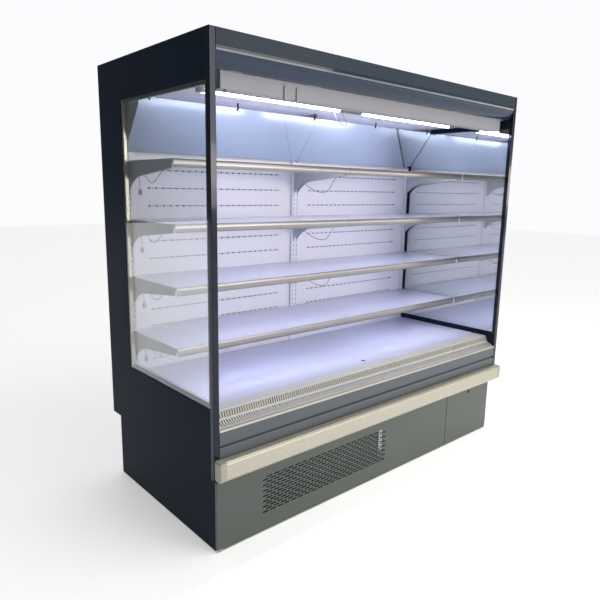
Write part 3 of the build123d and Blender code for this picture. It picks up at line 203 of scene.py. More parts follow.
# ---------------------------------------------------------------- condensing unit
# Behind the kick panel: a coil with black coated fins in a galvanised shroud with its fan, a black
# enamelled compressor on rubber mounts and a grey box for the wiring, all on one base plate.
def powder_coat(name, dark, light, gloss, peel=0.12, **constants):
    """A powder coat: two near tones in soft clouds under an orange-peel surface."""
    # real orange peel is 2 mm across; it is drawn 6 mm across so that it shows
    finish, shader = new_finish(name, dark, gloss, **constants)
    cloud = mottle(finish, shader, "ShaderNodeTexNoise", {"Scale": 1.7, "Detail": 3.0}, dark, light)
    wear = add(finish, "ShaderNodeMapRange", {"Value": cloud.outputs["Fac"], "From Min": 0.3, "From Max": 0.7,
                                              "To Min": gloss - 0.03, "To Max": gloss + 0.05})
    place = add(finish, "ShaderNodeTexCoord")
    skin = add(finish, "ShaderNodeTexNoise", {"Vector": place.outputs["Object"], "Scale": 160.0, "Detail": 2.0})
    bump = add(finish, "ShaderNodeBump", {"Height": skin.outputs["Fac"], "Strength": peel, "Distance": 0.0004})
    feed(finish, shader, "Roughness", wear.outputs["Result"])
    feed(finish, shader, "Normal", bump.outputs["Normal"])
    return finish


def moulding(name, dark, light, gloss, grain=0.25):
    """Moulded plastic with the fine grain of a spark-eroded mould."""
    # real grain is 0.2 mm across; it is drawn 2.4 mm across so that it shows
    finish, shader = new_finish(name, light, gloss, IOR=1.46)
    speck = mottle(finish, shader, "ShaderNodeTexNoise", {"Scale": 420.0, "Detail": 2.0}, dark, light)
    bump = add(finish, "ShaderNodeBump", {"Height": speck.outputs["Fac"], "Strength": grain, "Distance": 0.0003})
    feed(finish, shader, "Normal", bump.outputs["Normal"])
    return finish


def fin_stack(name, shaded_gap_tone, edge_tone, metal):
    """A block of thin fins, seen on their edges, with painted shade for the gaps between them."""
    # real fins stand every 2.1 mm; they are drawn every 12 mm so that they show
    finish, shader = new_finish(name, edge_tone, 0.45, metal)
    edges = mottle(finish, shader, "ShaderNodeTexWave", {"Scale": 26.5}, shaded_gap_tone, edge_tone, bands_direction="X")
    relief = add(finish, "ShaderNodeBump", {"Height": edges.outputs["Fac"], "Strength": 0.6, "Distance": 0.001})
    feed(finish, shader, "Normal", relief.outputs["Normal"])
    return finish


# the darker tone of each fin stack is painted shade in the gaps between the fins
dress(fin_stack("black_epoxy_coated_fins", "#070808", "#232628", 0.2), "condenser_coil")
dress(zinc, "unit_base_plate", "condenser_shroud")
black_nylon = moulding("black_glass_filled_nylon", "#0E0E10", "#1A1A1C", 0.42)
dress(black_nylon, "condenser_fan")
dress(powder_coat("black_baked_enamel", "#08080A", "#101013", 0.2), "compressor")
grey_abs = moulding("grey_abs", "#84868A", "#909296", 0.45)
dress(grey_abs, "electrical_box")


# ---------------------------------------------------------------- kick panel and plinth
# One sheet of 1.5 mm steel with its four edges folded back, so that it hangs on the frame like a
# tray. Rows of short slots are punched in front of the condenser, each row shifted by half a slot.
across, back, up = 0, 1, 2


def pick(*pieces):
    """Makes these pieces the whole selection, the first of them active."""
    bpy.ops.object.select_all(action="DESELECT")
    for piece in pieces:
        piece.select_set(True)
        bpy.context.view_layer.objects.active = pieces[0]


def settle(name):
    """Names the shape just made and puts its place and size into its mesh."""
    bpy.ops.object.transform_apply(location=True, rotation=True, scale=True)
    piece = bpy.context.object
    piece.name = name
    return piece


def block(name, low, high):
    """A box between two corners."""
    pick()
    bpy.ops.mesh.primitive_cube_add(size=1.0, location=[(bottom + top) / 2 for bottom, top in zip(low, high)],
                                    scale=[top - bottom for bottom, top in zip(low, high)])
    return settle(name)


def choose(piece, kind, test):
    """Opens a piece in edit mode with only the parts chosen whose middle and self pass a test."""
    pick(piece)
    bpy.ops.object.mode_set(mode="EDIT")
    bpy.ops.mesh.select_mode(type=kind)
    bpy.ops.mesh.select_all(action="DESELECT")
    skin = bmesh.from_edit_mesh(piece.data)
    for one in {"FACE": skin.faces, "EDGE": skin.edges, "VERT": skin.verts}[kind]:
        corners = one.verts if kind != "VERT" else [one]
        middle = sum((corner.co for corner in corners), Vector()) / len(corners)
        one.select_set(bool(test(middle, one)))
    skin.select_flush_mode()
    bmesh.update_edit_mesh(piece.data)


def leave():
    """Back from edit mode."""
    bpy.ops.object.mode_set(mode="OBJECT")


def modify(piece, kind, **settings):
    """Adds one modifier and applies it."""
    pick(piece)
    step = piece.modifiers.new(kind.lower(), kind)
    for name, value in settings.items():
        setattr(step, name, value)
    bpy.ops.object.modifier_apply(modifier=step.name)


def slot_punch(name, middle, long_axis, cut_axis, length, width, depth):
    """A punch for one slot with clipped ends, long in one axis and driven along another."""
    pick()
    turn = {back: (math.pi / 2, math.pi / 8, 0.0), up: (0.0, 0.0, math.pi / 8)}[cut_axis]
    bpy.ops.mesh.primitive_cylinder_add(vertices=8, radius=width / 2, depth=depth, location=middle, rotation=turn)
    tool = settle(name)
    for side in (-1, 1):
        step = [0.0, 0.0, 0.0]
        step[long_axis] = side * (length - width) / 2
        choose(tool, "VERT", lambda spot, one: side * (spot[long_axis] - middle[long_axis]) > 0)
        bpy.ops.transform.translate(value=step)
        leave()
    return tool


def repeat(piece, count, step):
    """Copies a shape along a step, applied."""
    modify(piece, "ARRAY", count=count, use_relative_offset=False, use_constant_offset=True,
           constant_offset_displace=step)


def cut(piece, tool):
    """Takes a tool's shape out of a piece and throws the tool away."""
    modify(piece, "BOOLEAN", operation="DIFFERENCE", solver="EXACT", object=tool)
    bpy.data.objects.remove(tool)


def fold_tray(name, low, high, open_side, skin, bend):
    """A tray of sheet: a box whose one side is open, its other edges bent, its wall inwards."""
    tray = block(name, low, high)
    choose(tray, "FACE", lambda spot, one: one.normal.dot(Vector(open_side)) > 0.9)
    bpy.ops.mesh.delete(type="FACE")
    leave()
    choose(tray, "EDGE", lambda spot, one: len(one.link_faces) == 2)
    bpy.ops.mesh.bevel(offset=bend, segments=2, affect="EDGES")
    leave()
    modify(tray, "SOLIDIFY", thickness=skin, offset=-1.0)
    return tray


def hang(piece, body, finish, slot, *nodes):
    """Finishes a new piece: its paint, its CAD body and the nodes it stands for; slot is not used."""
    piece.data.materials.clear()
    piece.data.materials.append(finish)
    if nodes:
        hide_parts(*nodes)
    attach(piece, body)


def join(pieces, name):
    """Makes one piece of several."""
    pick(*pieces)
    bpy.ops.object.join()
    whole = bpy.context.object
    whole.name = name
    return whole


kick_coat = powder_coat("grey_green_powder_coat", "#464F4A", "#4E5752", 0.34)
dress(kick_coat, "kick_access_panel", "base_side_right")
# the plinth rail wears a paler copy of the kick panel's coat, painted light so that it shows bright in its shade at
# the floor
dress(powder_coat("lit_grey_green_powder_coat", "#7F8882", "#89928C", 0.34), "plinth_rail")
kick_low, kick_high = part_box("kick_panel")
kick = fold_tray("kick_panel_vented", kick_low, kick_high, open_side=(0.0, 1.0, 0.0), skin=0.0015, bend=0.0012)
vent_left, vent_foot, vent_columns, vent_rows = -0.820, 0.086, 20, 14
vent_pitch, vent_rise = 0.805 / vent_columns, 0.174 / vent_rows
# the slots are 1.6 mm higher than in the solid, so that they show as dark as they are
vent_length, vent_height, vent_punch = 0.0320, 0.0074, 0.012
for shifted, columns in ((0, vent_columns), (1, vent_columns - 1)):
    first = (vent_left + vent_pitch * (shifted + 1) / 2, kick_low[1], vent_foot + vent_rise * (shifted + 0.5))
    tool = slot_punch("vent_punch", first, across, back, vent_length, vent_height, vent_punch)
    repeat(tool, columns, (vent_pitch, 0.0, 0.0))
    repeat(tool, vent_rows // 2, (0.0, 0.0, 2 * vent_rise))
    cut(kick, tool)
hang(kick, "root", kick_coat, "kick_paint", "kick_panel")


# ---------------------------------------------------------------- insulated body
# A tub, a back wall and a roof foamed between steel sheets. Inside they are white pre-painted
# steel; the air duct behind the shelves and the outside of the back stay bare galvanised, and that
# zinc is painted dark as shade, so that the slots in front of the duct show dark.
white_coat = powder_coat("white_powder_coat", "#D9DADF", "#E1E2E8", 0.42)
dress(white_coat, "insulated_tank")
# the duct's zinc is painted dark: painted shade inside the duct, seen through the slots
shaded_duct_zinc, shaded_duct_shader = new_finish("shade_darkened_galvanised_duct_sheet", "#34373A", 0.5, 0.3)
mottle(shaded_duct_zinc, shaded_duct_shader, "ShaderNodeTexVoronoi", {"Scale": 60.0}, "#2B2E31", "#3D4144", output="Color")
dress(shaded_duct_zinc, "insulated_back")


# ---------------------------------------------------------------- end panels, covers and roof
# Every outer sheet is zinc-coated steel with baked polyester powder, navy black and satin. A cover
# strip closes each end over the glass, and its joint is the fine line near the top.
navy_coat = powder_coat("navy_black_powder_coat", "#141D2B", "#1C2736", 0.36, Specular_IOR_Level=0.03)
dress(navy_coat, "end_panel_left", "end_panel_right", "top_side_covers", "insulated_roof")


# ---------------------------------------------------------------- front posts
# Black anodised aluminium profiles, one at each front corner, that hold the side glass and carry
# the canopy. Their gloss throws back a band of the room at eye level.
def extrusion(name, dark, light, gloss, grain=(3.0, 700.0, 700.0), metal=0.9, **constants):
    """Extruded aluminium with draw lines: grain says how fast they change along x, y and z."""
    # real draw lines are 0.3 mm apart; they are drawn about 1.5 mm apart so that they show
    finish, shader = new_finish(name, light, gloss, metal, **constants)
    place = add(finish, "ShaderNodeTexCoord")
    along = add(finish, "ShaderNodeMapping", {"Vector": place.outputs["Object"], "Scale": grain})
    lines = add(finish, "ShaderNodeTexNoise", {"Vector": along.outputs["Vector"], "Scale": 1.0, "Detail": 2.0})
    tone = add(finish, "ShaderNodeMixRGB", {"Fac": lines.outputs["Fac"], "Color1": shade(dark),
                                            "Color2": shade(light)})
    wear = add(finish, "ShaderNodeMapRange", {"Value": lines.outputs["Fac"], "To Min": gloss - 0.06,
                                              "To Max": gloss + 0.08})
    feed(finish, shader, "Base Color", tone.outputs["Color"])
    feed(finish, shader, "Roughness", wear.outputs["Result"])
    return finish


post_black = extrusion("black_anodised_aluminium", "#111724", "#1A2130", 0.19, grain=(700.0, 700.0, 3.0),
                       Coat_Weight=0.45, Coat_Roughness=0.06)
dress(post_black, "front_posts")


# ---------------------------------------------------------------- side glass
# Two panes of 4 mm float glass in each end on an aluminium spacer, their edges ground. The right
# pair is silver-coated: it looks grey and mirrors the lit shelves, and the left pair is clear.
clear_glass, clear_shader = new_finish("clear_float_glass", "#FBFDFD", 0.0, Transmission_Weight=1.0, IOR=1.5)
coated_glass, coated_shader = new_finish("silver_coated_float_glass", "#EEF1F2", 0.02, 0.62,
                                         Transmission_Weight=1.0)
for finish, shader in ((clear_glass, clear_shader), (coated_glass, coated_shader)):
    place = add(finish, "ShaderNodeTexCoord")
    wave = add(finish, "ShaderNodeTexNoise", {"Vector": place.outputs["Object"], "Scale": 3.0, "Detail": 1.0})
    ripple = add(finish, "ShaderNodeBump", {"Height": wave.outputs["Fac"], "Strength": 0.03, "Distance": 0.003})
    feed(finish, shader, "Normal", ripple.outputs["Normal"])

glass_low, glass_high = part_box("side_glass")
(near_y, low_z), (far_y, high_z) = glass_low[1:], glass_high[1:]
outer_x, inner_pane_x, pane_thickness, ground_edge = glass_high[0], 1.020, 0.004, 0.0004
for side, sign, finish in (("left", -1, clear_glass), ("right", 1, coated_glass)):
    panes = []
    for near, far in ((outer_x - pane_thickness, outer_x), (inner_pane_x, inner_pane_x + pane_thickness)):
        low_x, high_x = sorted((sign * near, sign * far))
        pane = block("pane", (low_x, near_y, low_z), (high_x, far_y, high_z))
        choose(pane, "EDGE", lambda spot, one: True)
        bpy.ops.mesh.bevel(offset=ground_edge, segments=1, affect="EDGES")
        leave()
        panes.append(pane)
    hang(join(panes, f"side_glass_{side}"), "root", finish, "glass", "side_glass")

satin_aluminium = extrusion("satin_anodised_aluminium", "#A9A79E", "#C9C7BE", 0.34)
# the rear bar of each spacer is bright; the other three are black, so that they don't show
black_bars, bright_bars, bar_width = [], [], 0.014
for sign in (-1, 1):
    low_x, high_x = sorted((sign * (inner_pane_x + pane_thickness), sign * (outer_x - pane_thickness)))
    for bars, low, high in (
            (black_bars, (near_y, low_z), (near_y + bar_width, high_z)),
            (black_bars, (near_y + bar_width, low_z), (far_y - bar_width, low_z + bar_width)),
            (black_bars, (near_y + bar_width, high_z - bar_width), (far_y - bar_width, high_z)),
            (bright_bars, (far_y - bar_width, low_z), (far_y, high_z))):
        bars.append(block("spacer_bar", (low_x, *low), (high_x, *high)))
hang(join(black_bars, "glass_spacers_black"), "root", post_black, "aluminium", "glass_spacers")
hang(join(bright_bars, "glass_spacers_rear"), "root", satin_aluminium, "aluminium", "glass_spacers")


# ---------------------------------------------------------------- front panels and trim
# Two slate sheets with a shadow groove between them close the front of the tub. A bright rolled
# trim runs along their top edge, under the return grille.
slate_coat = powder_coat("slate_powder_coat", "#4B525A", "#535B63", 0.33)
dress(slate_coat, "front_panel_upper", "front_panel_lower")
dress(satin_aluminium, "front_top_trim")


# ---------------------------------------------------------------- bumper
# A hollow aluminium extrusion that takes the knocks of trolleys: rounded over its top and bottom,
# with fine ribs down its face that hide scratches. Moulded caps close its ends.
front_plane = -0.4555


def at_depth(*points):
    """Turns (depth, height) in millimetres behind the front plane to (y, z) in metres."""
    return [(front_plane + depth / 1000, height / 1000) for depth, height in points]


def arc(centre, radius, start, end, steps):
    """Points on an arc about (depth, height), its angles in degrees up from straight back."""
    turns = [math.radians(start + (end - start) * step / steps) for step in range(steps + 1)]
    return [(centre[0] + radius * math.cos(turn), centre[1] + radius * math.sin(turn)) for turn in turns]


def bent_sheet(name, x_span, path, skin, faces, bend=0.001):
    """A strip of sheet bent along (y, z) points across the cabinet; faces is where its first leg looks."""
    pick()
    length = x_span[1] - x_span[0]
    start_y, start_z = path[0]
    bpy.ops.mesh.primitive_plane_add(size=length, location=(sum(x_span) / 2, start_y - length / 2, start_z))
    strip = settle(name)
    choose(strip, "VERT", lambda spot, one: spot.y < start_y - length / 2)
    bpy.ops.mesh.delete(type="VERT")
    leave()
    choose(strip, "EDGE", lambda spot, one: True)
    for start, end in zip(path, path[1:]):
        leg = (0.0, end[0] - start[0], end[1] - start[1])
        bpy.ops.mesh.extrude_edges_move(TRANSFORM_OT_translate={"value": leg})
    leave()
    middle = Vector((sum(x_span) / 2, start_y, start_z))
    first = min(strip.data.polygons, key=lambda leg: (leg.center - middle).length)
    if first.normal.dot(Vector(faces)) < 0:
        choose(strip, "FACE", lambda spot, one: True)
        bpy.ops.mesh.flip_normals()
        leave()
    if bend:
        choose(strip, "EDGE", lambda spot, one: len(one.link_faces) == 2)
        bpy.ops.mesh.bevel(offset=bend, segments=2, affect="EDGES")
        leave()
    modify(strip, "SOLIDIFY", thickness=skin, offset=-1.0)
    return strip


bumper_low, bumper_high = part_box("bumper")
foot, head, bumper_face, bumper_rear = bumper_low[2] * 1000, bumper_high[2] * 1000, -42.0, -1.0
corner, rib_margin, rib_pitch, rib_rise = 16.0, 2.0, 4.5, 0.5
rib_low, rib_high = foot + corner + rib_margin, head - corner - rib_margin
rib_steps = 4 * round((rib_high - rib_low) / rib_pitch)
ribs = [(bumper_face + rib_rise * (1 - math.cos(math.tau * step / 4)) / 2,
         rib_low + (rib_high - rib_low) * step / rib_steps) for step in range(rib_steps + 1)]
bumper_path = at_depth((bumper_rear, foot), *arc((bumper_face + corner, foot + corner), corner, 270, 180, 6), *ribs,
                       *arc((bumper_face + corner, head - corner), corner, 180, 90, 6), (bumper_rear, head))
bumper = bent_sheet("bumper_ribbed", (bumper_low[0], bumper_high[0]), bumper_path, skin=0.0025,
                    faces=(0.0, 0.0, -1.0), bend=0.0)
bpy.ops.object.shade_smooth_by_angle(angle=0.5)
# the ribs are worn bright and hold dust between them, so the skin looks speckled
bumper_skin = extrusion("ribbed_bumper_aluminium", "#98968A", "#CECBBC", 0.36, grain=(90.0, 650.0, 650.0), metal=0.5)
hang(bumper, "root", bumper_skin, "bumper_skin", "bumper")
dress(moulding("cream_grey_abs", "#A09E92", "#ACAA9E", 0.3), "bumper_end_caps")


# ---------------------------------------------------------------- evaporator and its fans
# Under the deck: a finned coil, and in front of it a galvanised deck with two fans that draw the
# returning air through the grille and push it up behind the shelves.
# the darker tone is painted shade in the gaps between the fins
dress(fin_stack("mill_aluminium_fins", "#4B4E50", "#B4B8BA", 0.85), "evaporator_coil")
dress(zinc, "evaporator_fan_deck")
dress(black_nylon, "evaporator_fan_left", "evaporator_fan_right")


# ---------------------------------------------------------------- slotted uprights
# Channels of 1.5 mm steel screwed to the back wall. Two rows of hook slots in the wide middle one
# and one in each end one let the shelves hang at any height, 26.4 mm apart. On the middle one sit
# the sockets of the lamp leads.
upright_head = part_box("uprights")[1][2]
upright_foot, wall_y, spacer_height = 0.349, 0.4375, 0.020
(upright_front, _), (upright_rear, _) = at_depth((744, 0), (760, 0))
shelf_tops = (0.777, 1.041, 1.305, 1.569)
hook_pitch, hook_first, hook_count = 0.0264, 0.6314, 46
hook_length, hook_width, hook_punch = 0.016, 0.0044, 0.008
# the left and right edge of each channel, and the middles of its columns of slots
channel_spans = ((-1.017, -0.987, (-1.002,)), (-0.027, 0.027, (-0.012, 0.012)), (0.987, 1.017, (1.002,)))
channels = []
for low_x, high_x, columns in channel_spans:
    channel = fold_tray("upright_channel", (low_x, upright_front, upright_foot), (high_x, upright_rear, upright_head),
                        open_side=(0.0, 1.0, 0.0), skin=0.0015, bend=0.0012)
    for column in columns:
        tool = slot_punch("hook_punch", (column, upright_front, hook_first), up, back, hook_length, hook_width,
                          hook_punch)
        repeat(tool, hook_count, (0.0, 0.0, hook_pitch))
        cut(channel, tool)
    channels.append(channel)
for height in (0.700, 1.500):
    for low_x, high_x, _ in channel_spans:
        channels.append(block("upright_spacer", (low_x, upright_rear, height),
                              (high_x, wall_y, height + spacer_height)))
for top in shelf_tops[1:]:
    socket = block("lead_socket", (0.015, upright_front - 0.008, top - 0.068), (0.027, upright_front, top - 0.056))
    choose(socket, "FACE", lambda spot, one: one.normal.y < -0.9)
    bpy.ops.mesh.inset(thickness=0.002)
    bpy.ops.mesh.extrude_region_move(TRANSFORM_OT_translate={"value": (0.0, 0.003, 0.0)})
    leave()
    channels.append(socket)
hang(join(channels, "uprights_slotted"), "root", white_coat, "white_paint", "uprights")


# ---------------------------------------------------------------- back panels
# Two white sheets between the uprights. Cold air seeps onto the shelves through twelve rows of
# small slots, one long and one short in turn, that stop short of the uprights.
seep_left, seep_foot, seep_columns, seep_rows = 0.401, 0.614, 22, 12
seep_pitch, seep_rise = 0.03645, 0.0835
# the slots are 2.7 mm higher than in the solid, so that they show as dark as they are
seep_height, seep_punch = 0.0072, 0.006
panel_path = at_depth((716, 548.7), (756, 548.7), (756, 1854.7))
panels = []
for low_x, high_x in ((-0.9867, -0.0273), (0.0273, 0.9867)):
    panel = bent_sheet("back_panel", (low_x, high_x), panel_path, skin=0.0012, faces=(0.0, 0.0, 1.0), bend=0.002)
    start = (low_x + high_x) / 2 - seep_left + 0.009
    for shift, length in ((0.0, 0.0160), (0.01823, 0.0062)):
        tool = slot_punch("seep_punch", (start + shift, panel_path[-1][0], seep_foot), across, back, length,
                          seep_height, seep_punch)
        repeat(tool, seep_columns, (seep_pitch, 0.0, 0.0))
        repeat(tool, seep_rows, (0.0, 0.0, seep_rise))
        cut(panel, tool)
    panels.append(panel)
hang(join(panels, "back_panels_slotted"), "root", white_coat, "white_paint", "back_panels")


# ---------------------------------------------------------------- ceiling and air outlet
# White sheets close the canopy from below. The cold air comes down through a grey honeycomb just
# behind the blind, and a row of short slots lets some out near the mirrors.
ceiling_low, ceiling_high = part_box("ceiling_panel")
ceiling_height = ceiling_low[2]
ceiling_path = at_depth((296, 1863), (296, 1855), (755.5, 1855))
ceiling = bent_sheet("ceiling_panel_slotted", (ceiling_low[0], ceiling_high[0]), ceiling_path, skin=0.0012,
                     faces=(0.0, -1.0, 0.0), bend=0.0006)
(row_y, row_z), = at_depth((587, 1855))
row_left, row_pitch, row_count, row_width, row_punch = -0.945, 0.0497, 38, 0.006, 0.008
for shift, length in ((0.0, 0.0240), (0.0265, 0.0120)):
    tool = slot_punch("ceiling_punch", (row_left + shift, row_y, row_z), across, up, length, row_width, row_punch)
    repeat(tool, row_count, (row_pitch, 0.0, 0.0))
    cut(ceiling, tool)
hang(ceiling, "root", white_coat, "white_paint", "ceiling_panel")
dress(white_coat, "canopy_soffit")

outlet_low, outlet_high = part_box("air_outlet_grille")
rim = fold_tray("outlet_rim", outlet_low, outlet_high, open_side=(0.0, 0.0, 1.0), skin=0.0015, bend=0.0006)
choose(rim, "FACE", lambda spot, one: abs(one.normal.z) > 0.9 and one.calc_area() > 0.1)
bpy.ops.mesh.delete(type="FACE")
leave()
# hexagonal cells: their width, wall and distance from the rim, and the rise of a row in widths
comb_side, comb_wall, comb_margin, comb_rise = 0.0120, 0.0008, 0.002, 0.866
comb_columns, comb_rows = (int((outlet_high[axis] - outlet_low[axis] - 2 * comb_margin) / step)
                           for axis, step in ((across, comb_side), (back, comb_side * comb_rise)))
combs = [rim]
for row in (0, 1):
    pick()
    bpy.ops.mesh.primitive_cylinder_add(
        vertices=6, radius=comb_side / math.sqrt(3), depth=outlet_high[2] - outlet_low[2] - 0.002,
        end_fill_type="NOTHING", location=(outlet_low[0] + comb_margin + comb_side * (1 + row) / 2,
                                           outlet_low[1] + comb_margin + comb_side * (0.577 + comb_rise * row),
                                           (outlet_low[2] + outlet_high[2]) / 2))
    comb = settle("comb_row")
    modify(comb, "SOLIDIFY", thickness=comb_wall, offset=-1.0)
    repeat(comb, comb_columns - 1, (comb_side, 0.0, 0.0))
    repeat(comb, (comb_rows - row) // 2, (0.0, 2 * comb_rise * comb_side, 0.0))
    combs.append(comb)
hang(join(combs, "air_outlet_honeycomb"), "root", grey_abs, "grey_plastic", "air_outlet_grille")


# ---------------------------------------------------------------- canopy front
# A flat dark fascia over a convex lip of gloss-coated steel, whose curve draws the bright band of
# the room out into thin lines. Moulded caps fill the ends of the lip.
fascia_coat = powder_coat("dark_slate_powder_coat", "#26313D", "#2D3945", 0.34, Specular_IOR_Level=0.15)
dress(fascia_coat, "canopy_fascia")
lip_low, lip_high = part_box("canopy_lip")
lip_top, lip_radius, lip_sweep, lip_steps = 1943.0, 92.6, 49.1, 18
lip_face = arc((lip_radius, lip_top), lip_radius, 180, 180 + lip_sweep, lip_steps)
lip = bent_sheet("canopy_lip_curved", (lip_low[0], lip_high[0]),
                 at_depth((22, lip_top), *lip_face, (40, 1873), (40, 1886)), skin=0.0020, faces=(0.0, 0.0, 1.0),
                 bend=0.0)
bpy.ops.object.shade_smooth_by_angle(angle=0.5)
lip_coat = powder_coat("gloss_slate_blue_coat", "#1C2A40", "#23344C", 0.10, peel=0.02, Specular_IOR_Level=0.1,
                       Coat_Weight=0.6, Coat_Roughness=0.03)
hang(lip, "root", lip_coat, "canopy_gloss", "canopy_lip")
dress(black_nylon, "lip_end_caps")


# ---------------------------------------------------------------- night blind
# A grey steel cassette hangs under the canopy with the blind rolled up in it. Woven aluminised
# cloth comes out of its slot to a pull bar with two straps; only 34 mm of cloth show at rest.
dress(powder_coat("cassette_grey_powder_coat", "#83868F", "#8A8D96", 0.40), "blind_cassette")
dress(grey_abs, "cassette_end_caps", "blind_pull_bar")
cloth, cloth_shader = new_finish("woven_aluminised_cloth", "#B9BBC0", 0.5, 0.35, Sheen_Weight=0.2)
# real threads lie 0.6 mm apart; they are drawn 3 mm apart so that they show
thread = {"Scale": 105.0}
warp = mottle(cloth, cloth_shader, "ShaderNodeTexWave", thread, "#A7A9AF", "#C9CBD0", bands_direction="X")
cloth_place = add(cloth, "ShaderNodeTexCoord")
weft = add(cloth, "ShaderNodeTexWave", {"Vector": cloth_place.outputs["Object"], **thread}, bands_direction="Z")
weave = add(cloth, "ShaderNodeMath", {0: warp.outputs["Fac"], 1: weft.outputs["Fac"]}, operation="ADD")
thread_relief = add(cloth, "ShaderNodeBump", {"Height": weave.outputs["Value"], "Strength": 0.3,
                                              "Distance": 0.0003})
feed(cloth, cloth_shader, "Normal", thread_relief.outputs["Normal"])
dress(cloth, "blind_roller")
curtain_low, curtain_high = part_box("night_curtain")
curtain_width, curtain_drop = curtain_high[0] - curtain_low[0], curtain_high[2] - curtain_low[2]
pick()
bpy.ops.mesh.primitive_grid_add(x_subdivisions=96, y_subdivisions=6, size=1.0, rotation=(math.pi / 2, 0.0, 0.0),
                                location=[(low + high) / 2 for low, high in zip(curtain_low, curtain_high)])
bpy.context.object.scale = (curtain_width, curtain_drop, 1.0)
curtain = settle("night_curtain_cloth")
ripple_height, ripple_turn = 0.0002, 22.0
for corner in curtain.data.vertices:
    slack = (curtain_high[2] - corner.co.z) / curtain_drop
    corner.co.y += ripple_height * math.sin(corner.co.x * ripple_turn) * slack
curtain.data.materials.append(cloth)
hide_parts("night_curtain")
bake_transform(curtain)


# ---------------------------------------------------------------- canopy lamps
# Two opal tubes, each 806 mm long, clipped end to end between grey holders under the ceiling. Each
# has an aluminium collar at both ends, and together they light the whole front evenly.
opal, opal_shader = new_finish("lit_opal_polycarbonate", "#FFFFFF", 0.3, Emission_Color=shade("#F2F4FF"),
                               Emission_Strength=16.0)
mottle(opal, opal_shader, "ShaderNodeTexNoise", {"Scale": 30.0}, "#F6F7FF", "#FFFFFF")
dress(grey_abs, "lamp_holders")
tube_low, tube_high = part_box("canopy_lamps")
tube_y, tube_z = (tube_low[1] + tube_high[1]) / 2, (tube_low[2] + tube_high[2]) / 2
tube_radius, collar_radius, collar_length = 0.0088, 0.0090, 0.018


def round_bar(name, start_x, end_x, radius):
    """A round bar along X on the axis of the tubes."""
    pick()
    bpy.ops.mesh.primitive_cylinder_add(vertices=24, radius=radius, depth=end_x - start_x,
                                        location=((start_x + end_x) / 2, tube_y, tube_z),
                                        rotation=(0.0, math.pi / 2, 0.0))
    return settle(name)


tubes, collars = [], []
for start_x, end_x in ((-0.871, -0.065), (0.065, 0.871)):
    tube = round_bar("canopy_tube", start_x + collar_length, end_x - collar_length, tube_radius)
    choose(tube, "FACE", lambda spot, one: abs(one.normal.x) > 0.9)
    bpy.ops.mesh.inset(thickness=0.0012)
    leave()
    tubes.append(tube)
    for low_x, high_x in ((start_x, start_x + collar_length), (end_x - collar_length, end_x)):
        collar = round_bar("tube_collar", low_x, high_x, collar_radius)
        choose(collar, "EDGE", lambda spot, one: abs(one.verts[0].co.x - one.verts[1].co.x) < 1e-5)
        bpy.ops.mesh.bevel(offset=0.0008, segments=2, affect="EDGES")
        leave()
        collars.append(collar)
for piece in tubes + collars:
    pick(piece)
    bpy.ops.object.shade_smooth_by_angle(angle=0.6)
hang(join(tubes, "canopy_tubes"), "root", opal, "lamp", "canopy_lamps")
hang(join(collars, "canopy_tube_collars"), "root", satin_aluminium, "lamp", "canopy_lamps")
# the white sheets of the wedge behind the mirrors throw the light of the tubes about
soft_box("canopy_wedge_bounce", (0.0, 0.205, 1.790), (0.0, 0.175, 1.855), width=1.90, height=0.05, power=0.6,
         colour="#D9D6FF")
for side, x in (("left", -0.468), ("right", 0.468)):
    soft_box(f"canopy_tube_light_{side}", (x, tube_y, tube_z - 0.011), (x, tube_y, 0.0), width=0.80, height=0.02,
             power=1.6, colour="#EEF0FF")


# ---------------------------------------------------------------- mirrors
# Two sheets of silvered glass lean over the top shelf, held by black clips, and double the goods.
# Cheeks fill the wedge at each end, painted grey as the shade behind the mirrors. The silver is a little blue, with a
# ground lower edge.
silvered, silvered_shader = new_finish("silvered_mirror_glass", "#D6DFE8", 0.03, 1.0)
silvered_wave = mottle(silvered, silvered_shader, "ShaderNodeTexNoise", {"Scale": 5.0, "Detail": 1.0}, "#CFD9E3",
                       "#DEE6EE")
silvered_ripple = add(silvered, "ShaderNodeBump", {"Height": silvered_wave.outputs["Fac"], "Strength": 0.05,
                                                   "Distance": 0.004})
feed(silvered, silvered_shader, "Normal", silvered_ripple.outputs["Normal"])
dress(silvered, "mirrors")
# the grey of the cheeks is painted shade, the dark of the space behind the mirrors
dress(powder_coat("shade_grey_cheek_powder_coat", "#7A8287", "#828A8F", 0.40), "mirror_cheeks")
dress(black_nylon, "mirror_clips")


# ---------------------------------------------------------------- shelves and brackets
# Folded steel decks, two to a tier, in pearl white powder coat, each on a pair of pale grey
# brackets cut from 2.4 mm plate and hooked into the uprights.
shelf_coat = powder_coat("pearl_white_powder_coat", "#BDC0D0", "#C5C8D8", 0.16, peel=0.04)
dress(shelf_coat, "shelf_1", "shelf_2", "shelf_3", "shelf_4")
dress(powder_coat("bracket_grey_powder_coat", "#B3B8BA", "#BBC0C2", 0.36), "shelf_brackets")


